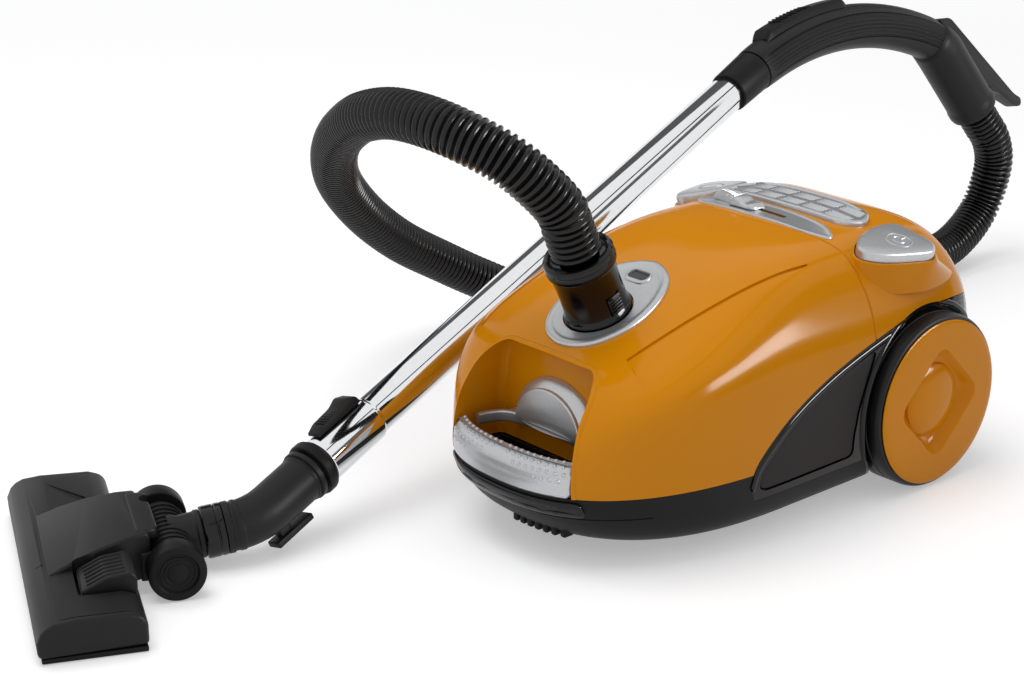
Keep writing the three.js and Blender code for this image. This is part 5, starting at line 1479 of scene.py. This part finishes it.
class CLEANER_OT_wheels(bpy.types.Operator):
    """Makes the amber wheel discs with their scoops, and the tyres"""
    bl_idname = "cleaner.wheels"
    bl_label = "Wheels"

    def execute(self, context):
        disc, tyre = moved(self.disc(), WHEEL_AXIS), moved(self.tyre(), WHEEL_AXIS)
        for hand, word in reversed(SIDES):
            for pattern, finish, node, slot in (
                    (disc, amber_abs(), "rim", "amber_shell"), (tyre, tread_rubber(), "tyre", "rubber")):
                wheel = handed(copied(pattern, f"{node}_{word}_fine"), hand)
                finished(wheel, f"wheel_{word}", finish, [f"{node}_{word}"], slot=slot, smooth=30)
        bpy.data.objects.remove(disc)
        bpy.data.objects.remove(tyre)
        return {"FINISHED"}

    def disc(self):
        """The amber disc with its square scoop and the domed boss in it."""
        disc = turned("disc", [
            (0, 105), (68, 105), (68, 141), (69.8, 141.4), (70, 142.2), (68.6, 143), (64, 143.4),
            (0, 143.4)], 128)
        scoop = prism("scoop", "z", rounded([(0, 57), (57, 0), (0, -57), (-57, 0)], 16, 8), 132.5, 150)
        for vertex in scoop.data.vertices:  # the scoop narrows towards its floor
            if vertex.co.z < 140:
                vertex.co.x *= 0.72
                vertex.co.y *= 0.72
        cut(disc, bevelled(scoop, 5, 5, 30))
        united(disc, turned("boss", [
            (0, 130), (31, 130), (31, 134), (30.4, 135.2), (28, 136.6), (24, 138), (18, 139.3), (10, 140.2),
            (0, 140.6)]))
        return cut(disc, rod("bore", 5.1, 90, 131))

    def tyre(self):
        """The tread ring with its two fine grooves."""
        profile = [(68.3, 109.2), (72.6, 109), (73.6, 109.6), (74, 111), (74, 118)]
        for low, high in ((118, 127), (127, 135)):  # a groove, and the tread beyond it
            profile += [(73.4, low + 0.6), (73.4, low + 1.4), (74, low + 2), (74, high)]
        profile += [(73.4, 138), (72.2, 140), (70.4, 140.7), (68.3, 140.6)]
        return turned("tyre", profile, 128)


# ---------------------------------------------------------------- tube and handle

COLLAR_END = -(TUBE_LENGTH - 2)
OUTER_END = COLLAR_END + 12.3
FLARE_LENGTH, FLARE_STEP = 57, 2
PLAY = 0.3  # room between the inner tube and its collar


class CLEANER_OT_tubes(bpy.types.Operator):
    """Makes the chrome tubes, the collar and the lock slide"""
    bl_idname = "cleaner.tubes"
    bl_label = "Tubes"

    def execute(self, context):
        wall, inner_wall = 1.3, 1.2
        radius, inner = settings().wand.tube / MM / 2, settings().wand.inner / MM / 2
        flare, flare_end = radius + FLARE_STEP, OUTER_END + FLARE_LENGTH
        outer = laid("outer_tube_chrome", [
            (radius - wall, -0.3), (radius - 0.3, -0.3), (radius, -0.8), (radius, flare_end + 5),
            (radius + 0.25, flare_end + 3.5), (flare - 0.25, flare_end + 1.5), (flare, flare_end),
            (flare, OUTER_END + 0.6), (flare - 0.4, OUTER_END), (flare - wall, OUTER_END),
            (flare - wall, flare_end), (radius - wall, flare_end + 5)])
        finished(outer, "canister", chrome(), ["outer_tube"], TUBE, "chrome_tube")
        slim_end = -TUBE_LENGTH - 24
        slim = laid("inner_tube_chrome", [
            (inner - inner_wall, -30), (inner, -30), (inner, slim_end), (inner - inner_wall, slim_end)])
        finished(slim, "telescope", chrome(), ["inner_tube"], TUBE, "chrome_tube")
        profile = [
            (inner + PLAY, 0), (21.6, 0), (22.6, 0.6), (23, 1.8), (23, 7.4), (22.6, 8.6), (21.2, 9.6),
            (20.2, 11.6), (inner + PLAY, 12)]
        collar = laid("tube_ring", [(reach, COLLAR_END + x) for reach, x in profile])
        finished(collar, "canister", satin_abs(), ["tube_collar"], TUBE, "satin_black")
        self.lock(OUTER_END + 6, flare + 0.4)
        return {"FINISHED"}

    def lock(self, x, low):
        """The lock slide from its lower end x, on the flare at the height low."""
        outline = [(0, 0), (50, 0), (47, 7), (37, 11), (28, 7.2), (8, 6), (0, 2.5)]
        slide = prism("lock_slide", "y", rounded([(x + a, low + b) for a, b in outline], 2.2, 4), -7, 7, 1.2)
        ribs = []
        for k in range(6):
            first = x + 9 + 3 * k
            ribs.append(block("rib", first, first + 1.4, -5.4, 5.4, low + 5, low + 7.2, 0.6, 2))
        joined(slide, *ribs)
        finished(slide, "lock_lever", satin_abs(), ["lock_lever"], TUBE, "satin_black")


# The handle's middle line, in the tube's frame: a long bend for the grip, a tight one, and a straight end.
BEND_START, GRIP_BEND, GRIP_ANGLE = 30, 394, math.radians(42)
END_BEND, END_ANGLE, END_STRAIGHT = 70, math.radians(75), 78
SOCKET_ANGLE = GRIP_ANGLE + (END_ANGLE - GRIP_ANGLE) * 0.3


def square_to(angle):
    """The direction outwards from a bend's middle at an angle."""
    return Vector((math.sin(angle), 0, math.cos(angle)))


def grip_arc(angle):
    return Vector((BEND_START + GRIP_BEND * math.sin(angle), 0, -GRIP_BEND + GRIP_BEND * math.cos(angle)))


def end_arc(angle):
    turn = grip_arc(GRIP_ANGLE) - END_BEND * square_to(GRIP_ANGLE)
    return turn + END_BEND * square_to(angle)


def on_grip(distance):
    """The angle of the grip's bend at a distance along the handle's middle line."""
    return (distance - BEND_START) / GRIP_BEND


END_AHEAD = Vector((math.cos(END_ANGLE), 0, -math.sin(END_ANGLE)))
GRIP_END = end_arc(END_ANGLE) + END_STRAIGHT * END_AHEAD


class CLEANER_OT_handle(bpy.types.Operator):
    """Makes the ferrule, the ribbed grip, the air slider and the socket with its fin and screw"""
    bl_idname = "cleaner.handle"
    bl_label = "Handle"

    def execute(self, context):
        radius = settings().wand.grip / MM / 2
        ferrule = laid("ferrule", [
            (15, 0.2), (18.6, 0.2), (19.2, 0.8), (19.4, 2), (20.4, 39), (20.2, 41), (19.4, 41.7), (15, 41.7)])
        finished(ferrule, "canister", satin_abs(), ["handle_ferrule"], TUBE, "satin_black")
        self.grip(radius)
        self.socket()
        self.slider(radius)
        return {"FINISHED"}

    def grip(self, radius):
        line = [tuple(grip_arc(a)) for a in np.linspace(on_grip(42.2), GRIP_ANGLE, 90)]
        line += [tuple(end_arc(a)) for a in np.linspace(GRIP_ANGLE, SOCKET_ANGLE + 0.02, 12)[1:]]
        ribs = settings().wand.grip_ribs
        around, band = 300, 0.84  # points round the grip, and where the bands of long ribs on its sides begin

        def section(share):
            points = []
            ease = min(1, share / 0.05, (1 - share) / 0.03) ** 0.5
            swell = 1.0 + 0.035 * math.sin(math.pi * share)
            for k in range(around):
                angle = 2 * math.pi * k / around
                side = abs(math.sin(angle))  # 0 on top and below, 1 on the sides
                reach = radius * (0.965 + 0.035 * ease) * swell
                if side > band:
                    phase = (math.acos(min(1, side)) / math.acos(band)) * ribs / 2
                    reach -= (0.9 - 1.3 * (0.5 + 0.5 * math.cos(2 * math.pi * phase)) ** 3) * ease
                points.append((reach * math.cos(angle), reach * math.sin(angle)))
            return points

        grip = swept("grip", line, section, side=(0, 0, 1))
        finished(grip, "canister", head_pp(), ["handle_grip"], TUBE, "head_black", smooth=50)

    def socket(self):
        line = [tuple(end_arc(a)) for a in np.linspace(SOCKET_ANGLE, END_ANGLE, 14)]
        line += [tuple(Vector(line[-1]) + END_AHEAD * d) for d in np.linspace(6, END_STRAIGHT, 24)]

        def section(share):
            reach = 22.6 + 2.6 * min(1, share / 0.25) ** 0.6
            if share < 0.06:
                reach -= 1.6 * (1 - share / 0.06)
            if share > 0.9:
                reach += 0.9
            if share > 0.98:
                reach -= 0.8
            return circle(reach, 72)

        body = swept("socket", line, section, side=(0, 0, 1))
        united(body, self.fin())
        bore_line = [
            tuple(end_arc(END_ANGLE) + END_AHEAD * d) for d in np.linspace(-4, END_STRAIGHT + 12, 12)]
        cut(body, swept("bore", bore_line, lambda share: circle(20.9, 48), side=(0, 0, 1)))
        screw_place = Matrix.Translation(GRIP_END + Vector((21, 0, 10))) @ Z_ONTO_Y.inverted()
        cut(body, moved(rod("seat", 4.4, 7.4, 40, 40), screw_place))
        finished(body, "canister", head_pp(), ["hose_socket"], TUBE, "head_black", smooth=35)
        screw = rod("screw", 3.4, 5, 9, 48, 0.5)
        cut(screw, block("slot", -0.5, 0.5, -2.4, 2.4, 8, 10), block("slot", -2.4, 2.4, -0.5, 0.5, 8, 10))
        finished(moved(screw, screw_place), "canister", plain_steel(), ["socket_screw"], TUBE, "steel")

    def fin(self):
        """The fin above the socket, slimmer towards its tip."""
        x, z = end_arc(SOCKET_ANGLE).x, end_arc(SOCKET_ANGLE).z
        ex, ez = GRIP_END.x, GRIP_END.z
        fin = prism("fin", "y", rounded([
            (x + 12, z + 16), (x + 30, z + 9), (ex + 66, ez - 19), (ex + 76, ez - 31), (ex + 72, ez - 38),
            (ex + 62, ez - 34), (ex + 40, ez - 5), (ex + 24, ez + 8), (ex + 8, ez + 46)], 6, 6), -13, 13)
        for vertex in fin.data.vertices:
            vertex.co.y *= 1 - 0.55 * min(1, max(0, (vertex.co.x - ex - 8) / 60))
        return bevelled(fin, 3.5, 4)

    def slider(self, radius):
        first, last = on_grip(64), on_grip(186)
        foot = radius - 3  # the slider's sides start this far from the grip's middle line
        rings = []
        for share in np.linspace(0, 1, 49):
            angle = first + (last - first) * share
            ends = min(1, min(share, 1 - share) / 0.06)
            height = 3.5 + (7.4 - 1.4 * (1 - share)) * ends ** 0.6
            half = 11.5 * (0.86 + 0.14 * ends)
            corners = [(-half - 0.6, 0), (half + 0.6, 0), (half - 1.6, height), (-half + 1.6, height)]
            rings.append([grip_arc(angle) + square_to(angle) * (foot + b) + Vector((0, a, 0))
                          for a, b in rounded(corners, 2.6, 4)])
        slider = wrapped("air_slide", rings, "filled")
        ribs = []
        for k in range(9):
            angle = first + (last - first) * (0.22 + 0.045 * k)
            place = Matrix.Translation(grip_arc(angle) + square_to(angle) * (foot + 10))
            rib = block("rib", -0.8, 0.8, -8, 8, 0, 1.3, 0.5, 2)
            ribs.append(moved(rib, place @ Matrix.Rotation(angle, 4, "Y")))
        joined(slider, *ribs)
        finished(slider, "air_slider", satin_abs(), ["air_slider"], TUBE, "satin_black", smooth=35)


# ---------------------------------------------------------------- elbow, neck and floor head

class CLEANER_OT_elbow(bpy.types.Operator):
    """Makes the elbow with its rings and parking clip, the swivel ring and the neck"""
    bl_idname = "cleaner.elbow"
    bl_label = "Elbow and neck"

    def execute(self, context):
        self.elbow()
        ring = turned("swivel_ring", [
            (15.8, 24.4), (19.6, 24.4), (20.4, 25), (20.6, 26), (20.6, 29), (20.1, 29.6), (20.1, 30.4),
            (20.6, 31), (20.6, 39), (20.3, 40.2), (19.6, 40.8), (15.8, 40.8)])
        finished(ring, "neck", black_abs(), ["swivel_collar"], NECK, "gloss_black")
        neck = turned("neck_tube", [
            (14, 41.2), (18.2, 41.2), (18.8, 42), (18.8, 45), (18, 46), (17.6, 58), (19, 62), (19, 66),
            (14, 66)])
        axle = Matrix.Translation((0, 0, NECK_LENGTH))
        united(neck, moved(rod("barrel", 17, -38.5, 38.5, 72, 1.2), axle @ Z_ONTO_X))
        for k in range(-4, 5):
            hoop = laid("hoop", [(16.4, -0.9), (18.2, -0.9), (18.6, 0), (18.2, 0.9), (16.4, 0.9)], 72)
            joined(neck, moved(hoop, axle @ Matrix.Translation((k * 7.5, 0, 0))))
        finished(neck, "neck", head_pp(), ["neck"], NECK, "head_black", smooth=35)
        return {"FINISHED"}

    def elbow(self):
        """The bent piece, in the tube's frame, with its parking clip."""
        ahead = Vector((1, 0, 0))
        foot = Vector((-TUBE_LENGTH, 0, 0))
        corner = foot - ahead * ELBOW_LEG
        onward = (TUBE.inverted().to_3x3() @ NECK_AHEAD).normalized()
        points = [foot - ahead * d for d in (1.2, 12, 24, 36, 44)]
        points += [corner + ahead * 18 * (1 - t) ** 2 + onward * 18 * t ** 2 for t in (0.25, 0.5, 0.75)]
        points += [corner + onward * d for d in (16, 20, 24)]
        # Rings that stand proud of the bend, as (from, to, height) in shares of its length.
        rings = ((0.0, 0.055, 2.0), (0.075, 0.095, 0.7), (0.86, 0.9, 0.7), (0.94, 1.0, 1.0))

        def section(share):
            return circle(19.4 + sum(extra for low, high, extra in rings if low <= share <= high), 64)

        elbow = swept("elbow_bend", spline(points, 110), section, side=(0, 0, 1))
        x = -TUBE_LENGTH
        arm = block("arm", x - 50, x - 38, -4, 4, -28, -18, 1.2)
        clip = block("clip", x - 58, x - 18, -7, 7, -30, -24.5, 1.2)
        cut(clip, block("slot", x - 54, x - 22, -4.2, 4.2, -40, -28.4, 0.8))
        joined(elbow, arm, clip)
        finished(elbow, "telescope", head_pp(), ["elbow"], TUBE, "head_black", smooth=35)


SLIT_HALF = 110  # half the length of the bristle strips
ROLLER_LIFT = Matrix.Translation((0, ROLLER_AXIS_Y, ROLLER_RADIUS))
ROLLER_PLACE = ROLLER_LIFT @ Z_ONTO_X


class CLEANER_OT_head(bpy.types.Operator):
    """Makes the floor head: cover, sole, bristles, rocker pedal and rollers"""
    bl_idname = "cleaner.head"
    bl_label = "Floor head"

    def execute(self, context):
        sizes = settings().head
        half = sizes.width / MM / 2
        strips = (("brush_front", 6, 10), ("brush_rear", 56, 60))
        self.cover(half, sizes.edge / MM)
        sole = block("sole", -half + 2, half - 2, 2, WING_REAR - 1, 0, 4, 1.0)
        cut(sole, block("mouth", -SLIT_HALF, SLIT_HALF, 14, 30, -5, 10, 1.5))
        cut(sole, *[block("slit", -SLIT_HALF - 0.4, SLIT_HALF + 0.4, low - 0.4, high + 0.4, -5, 10)
                    for _, low, high in strips])
        finished(sole, "head", satin_abs(), ["head_sole"], HEAD, "satin_black")
        for node, low, high in strips:
            self.bristles(node, low, high, sizes.tufts)
        self.pedal()
        self.rollers()
        return {"FINISHED"}

    def bristles(self, node, low, high, count):
        strip = block("strip", -SLIT_HALF, SLIT_HALF, low, high, 4.6, 13)
        tufts = []
        for x in np.linspace(-107, 107, count):
            tuft = turned("tuft", [(0, 0.6), (1.3, 0.7), (1.9, 2), (1.5, 6), (0, 6)], 8)
            tufts.append(moved(tuft, Matrix.Translation((x, (low + high) / 2, 0))))
        joined(strip, *tufts)
        strip.name = f"{node}_tufts"
        finished(strip, "brushes", bristle_nylon(), [node], HEAD, "rubber")

    def cover(self, half, edge):
        rear = WING_REAR
        wings = prism("head_cover_fine", "x", [
            (rear, 4.3), (rear, 22), (rear - 4, 28), (rear - 14, 31.4), (26, 31.6), (12, 30), (6, 27),
            (2, 23), (-1, 16), (-0.6, 8), (0, 4.3)], -half, half)
        for vertex in wings.data.vertices:  # the ends taper a little towards the rear
            if abs(abs(vertex.co.x) - half) < 1:
                vertex.co.x -= math.copysign(max(0, vertex.co.y - 20) * 0.05, vertex.co.x)
        bevelled(wings, edge, 4, 30)
        hood = prism("hood", "z", rounded([(-38, 82), (38, 82), (35, 99), (-35, 99)], 7, 5), 41, 49.8, 2)
        arms = [handed(block("arm", 39, 43, 84, 118, 11, 34, 1.2), hand) for hand, _ in SIDES]
        united(wings, self.housing(), hood, *arms)
        inside = prism("inside", "x", [
            (rear - 3, 0), (rear - 3, 22), (rear - 14, 28), (22, 28), (9, 25), (4, 16), (3, 0)],
            -half + 6, half - 6)
        axle = moved(rod("axle_hole", 3.3, -80, 80), ROLLER_PLACE)
        recess = prism("recess", "z", rounded([(49, 33), (95, 33), (95, 79), (49, 79)], 4, 5), 20.2, 80)
        throat = moved(rod("throat", 12, 80, 105), Matrix.Translation((0, 0, 30)) @ Z_ONTO_Y)
        notch = moved(rod("notch", 7, 30, 60), Matrix.Translation((-22, 99, 0)))
        cut(wings, inside, axle, recess, throat, notch)
        # A lip line runs over the cover near its right end, and fine grooves mark the housing's front.
        cut(wings, block("line", half - 7.5, half - 6.5, -4, rear + 4, 30.4, 40))
        cut(wings, block("line", 33.5, 34.5, 8, 13.6, 25, 40), block("line", -30, 40, 12.2, 13.4, 30, 36))
        # A shallow wedge on the left wing, which runs out towards the front.
        wedge = prism("wedge", "z", [(-112, 30), (-62, 52), (-60, 62), (-80, 56)], 30, 40)
        for vertex in wedge.data.vertices:
            if vertex.co.z < 31 and vertex.co.y < 35:
                vertex.co.z += 1.2
        cut(wings, wedge)
        finished(wings, "head", head_pp(), ["head_cover"], HEAD, "head_black", smooth=35)
        bed = block("pedal_bed", 49.5, 94.5, 33.5, 74.5, 16.5, 20, 0.8)
        finished(bed, "head", head_pp(), (), HEAD, "head_black")

    def housing(self):
        """The raised middle of the cover, which narrows towards the rear."""
        housing = prism("housing", "x", [
            (13, 20), (15, 30.5), (34, 38.5), (54, 44.5), (76, 48.8), (90, 49.8), (92, 46), (92, 14),
            (60, 8), (13, 8)], -56, 56)
        for vertex in housing.data.vertices:
            vertex.co.x *= 1 - 0.26 * max(0, (vertex.co.y - 13)) / 77
        return bevelled(housing, 3, 4, 25)

    def pedal(self):
        outline = rounded([(36, 24.4), (76, 24.4), (76, 39), (72, 43.5), (54, 41.5), (36, 33)], 2, 4)
        pedal = prism("rocker", "x", outline, 52, 92, 1.5)
        ribs = []
        for x in range(57, 88, 6):
            line = [(x, 40, 35.2), (x, 46, 38.0), (x, 54, 41.4), (x, 62, 42.4), (x, 68, 43.1)]
            ribs.append(swept("rib", spline(line, 20), lambda share: circle(0.9, 10)))
        joined(pedal, *ribs)
        finished(pedal, "rocker", head_pp(), ["rocker_pedal"], HEAD, "head_black", smooth=35)

    def rollers(self):
        profile = [
            (0, 59.75), (3.4, 59.75), (3.4, 43.5), (21, 43.5), (21.8, 44.2), (22, 45.2), (22, 58.4),
            (21.5, 60.4), (20, 61), (16.4, 61), (15.6, 60.2), (15, 58.8)]
        for groove_edge in (13.6, 10.6):  # two fine raised rings on the face
            profile += [
                (groove_edge, 58.8), (groove_edge - 0.4, 59.3), (groove_edge - 1.2, 59.3),
                (groove_edge - 1.6, 58.8)]
        profile += [(7.6, 58.8), (7.2, 59.3), (6.2, 59.4), (4.6, 60), (0, 60.2)]
        roller = turned("roller", profile)
        for hand, word in reversed(SIDES):
            wheel = moved(copied(roller, f"roller_{word}"), Z_ONTO_X)
            moved(handed(wheel, hand), ROLLER_LIFT)
            finished(wheel, f"head_roller_{word}", satin_abs(), [f"head_roller_{word}"], HEAD, "head_black")
        bpy.data.objects.remove(roller)
        axle = moved(rod("roller_pin", 3, -59.6, 59.6, 48, 0.6), ROLLER_PLACE)
        finished(axle, "head", plain_steel(), ["roller_axle"], HEAD, "steel")


# ---------------------------------------------------------------- castor and what is inside

class CLEANER_OT_inside(bpy.types.Operator):
    """Gives the pieces inside the machine and the castor their finishes"""
    bl_idname = "cleaner.inside"
    bl_label = "Inside"

    def execute(self, context):
        finishes = {
            satin_abs: ("castor_fork", "motor_bulkhead", "cable_reel", "cord_outlet"),
            tread_rubber: ("castor_wheel",),
            plain_steel: ("castor_axle", "axle_left", "axle_right", "motor", "motor_fan"),
            pale_abs: ("dust_container", "motor_housing"),
            filter_fleece: ("container_filter", "exhaust_filter"),
            board_resin: ("control_board",),
        }
        for finish, names in finishes.items():
            for name in names:
                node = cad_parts[name]
                node.data.materials.clear()
                node.data.materials.append(finish())
        return {"FINISHED"}


# ---------------------------------------------------------------- stage

CARD_AIM, LAMP_AIM = Vector((0.05, -0.1, 0.15)), Vector((0.05, -0.1, 0.12))


class CLEANER_OT_stage(bpy.types.Operator):
    """Sets the pale floor, the soft lights and the white surroundings"""
    bl_idname = "cleaner.stage"
    bl_label = "Stage"

    def execute(self, context):
        values = settings().stage
        context.scene.view_settings.view_transform = "Standard"
        self.world(context, values)
        self.floor()
        # Lamps and cards stand round the object, in metres.
        self.light("key", (-0.4, -0.7, 2.6), 2.0, 1.6, values.key)
        self.light("cheek", (1.95, 1.0, 0.78), 1.1, 0.5, values.cheek, only_mirrored=True)
        # Dark cards that only mirrors see give the chrome its dark streaks and keep the amber deep.
        self.card("card_behind", (-1.9, 1.7, 1.35), (0.67, 0.74, 0), 3.2, 1.5, "5c5c5e")
        self.card("card_low", (2.3, 2.2, 0.27), (0.7, -0.7, 0), 3.0, 0.52, "202021")
        self.card("card_right", (1.93, 1.48, 1.55), TUBE_AHEAD, 4.4, 0.6, "6a6a6c")
        self.card("card_above", (0.76, 0.84, 2.4), TUBE_AHEAD, 7.0, 0.2, "202021")
        return {"FINISHED"}

    def card(self, name, place, along, width, height, tone):
        """A card that faces the object, with its width along a direction."""
        ahead = (CARD_AIM - Vector(place)).normalized()
        across = (Vector(along) - Vector(along).dot(ahead) * ahead).normalized()
        start()
        bpy.ops.mesh.primitive_plane_add(size=1)
        card = new_piece(name)
        stand = along_axes(place, across, ahead.cross(across), ahead)
        card.data.transform(stand @ Matrix.Diagonal((width, height, 1, 1)))
        card.visible_camera = card.visible_diffuse = card.visible_transmission = card.visible_shadow = False
        card.visible_volume_scatter = False
        card.data.materials.append(moulded(f"felt_{tone}", linear(tone), 0.95, grain=2, relief=0.01))

    def light(self, name, place, width, height, power, only_mirrored=False):
        """A soft lamp that faces the object. Gloss shows it, or else matt surfaces are lit by it."""
        data = bpy.data.lights.new(name, "AREA")
        data.shape, data.size, data.size_y, data.energy = "RECTANGLE", width, height, power
        lamp = bpy.data.objects.new(name, data)
        bpy.context.collection.objects.link(lamp)
        lamp.visible_glossy, lamp.visible_diffuse = only_mirrored, not only_mirrored
        lamp.location = place
        lamp.rotation_euler = (LAMP_AIM - Vector(place)).to_track_quat("-Z", "Y").to_euler()

    def world(self, context, values):
        """White where it is seen or mirrored, and a dimmer fill on the object."""
        world = bpy.data.worlds.new("white_surroundings")
        context.scene.world = world
        world.use_nodes = True
        tree = world.node_tree
        tree.nodes.clear()
        white = add(tree, "ShaderNodeBackground", {"Color": (1, 1, 1, 1), "Strength": 1.0})
        soft = add(tree, "ShaderNodeBackground", {"Color": (1, 1, 1, 1), "Strength": values.fill})
        final = add(tree, "ShaderNodeMixShader", {
            0: shown_plainly(tree), 1: soft.outputs[0], 2: white.outputs[0]})
        add(tree, "ShaderNodeOutputWorld", {"Surface": final.outputs[0]})

    def floor(self):
        """Pale paper that keeps the object's shadow and fades into white."""
        start()
        bpy.ops.mesh.primitive_plane_add(size=14, location=(0, 0, -0.0004))
        floor = new_piece("floor")
        material = bpy.data.materials.new("white_paper_floor")
        material.use_nodes = True
        tree = material.node_tree
        shader = tree.nodes["Principled BSDF"]
        shader.inputs["Base Color"].default_value = (0.78, 0.78, 0.79, 1)
        shader.inputs["Roughness"].default_value = 0.9
        shader.inputs["Specular IOR Level"].default_value = 0.1
        glow = add(tree, "ShaderNodeEmission", {"Color": (1, 1, 1, 1), "Strength": 0.36})
        dark = add(tree, "ShaderNodeEmission", {"Color": (0, 0, 0, 1), "Strength": 0.0})
        lift = add(tree, "ShaderNodeMixShader", {
            0: shown_plainly(tree), 1: dark.outputs[0], 2: glow.outputs[0]})
        total = add(tree, "ShaderNodeAddShader", {0: shader.outputs[0], 1: lift.outputs[0]})
        white = add(tree, "ShaderNodeEmission", {"Color": (1, 1, 1, 1), "Strength": 1.0})
        place = add(tree, "ShaderNodeTexCoord").outputs["Object"]
        far = add(tree, "ShaderNodeVectorMath", {0: place}, operation="LENGTH")
        edge = add(tree, "ShaderNodeMapRange", {
            "Value": far.outputs["Value"], "From Min": 1.2, "From Max": 2.6})
        faded = add(tree, "ShaderNodeMixShader", {
            0: edge.outputs["Result"], 1: total.outputs[0], 2: white.outputs[0]})
        tree.links.new(faded.outputs[0], tree.nodes["Material Output"].inputs["Surface"])
        floor.data.materials.append(material)


# ---------------------------------------------------------------- panel and registration

PIECES = (
    CLEANER_OT_camera, CLEANER_OT_hose, CLEANER_OT_base, CLEANER_OT_bar, CLEANER_OT_lid,
    CLEANER_OT_rear_shell, CLEANER_OT_latch, CLEANER_OT_inlet, CLEANER_OT_top, CLEANER_OT_covers,
    CLEANER_OT_wheels, CLEANER_OT_tubes, CLEANER_OT_handle, CLEANER_OT_elbow, CLEANER_OT_head,
    CLEANER_OT_inside, CLEANER_OT_stage,
)


class CLEANER_PT_panel(bpy.types.Panel):
    """Lists the pieces and the settings that shape them"""
    bl_idname = "CLEANER_PT_panel"
    bl_label = "Cleaner"
    bl_space_type = "VIEW_3D"
    bl_region_type = "UI"
    bl_category = "Cleaner"

    def draw(self, context):
        for operator in PIECES:
            self.layout.operator(operator.bl_idname)
        for group in SETTINGS:
            box = self.layout.box()
            box.label(text=group.title())
            values = getattr(context.scene.cleaner, group)
            for key in values.bl_rna.properties.keys():
                if key not in ("rna_type", "name"):
                    box.prop(values, key)


CLASSES = (*SETTINGS.values(), CleanerSettings, *PIECES, CLEANER_PT_panel)


def register():
    for item in CLASSES:
        bpy.utils.register_class(item)
    bpy.types.Scene.cleaner = PointerProperty(type=CleanerSettings)


def unregister():
    del bpy.types.Scene.cleaner
    for item in reversed(CLASSES):
        bpy.utils.unregister_class(item)


def main():
    register()
    for operator in PIECES:
        getattr(bpy.ops.cleaner, operator.bl_idname.removeprefix("cleaner."))()


if __name__ == "__main__":
    main()
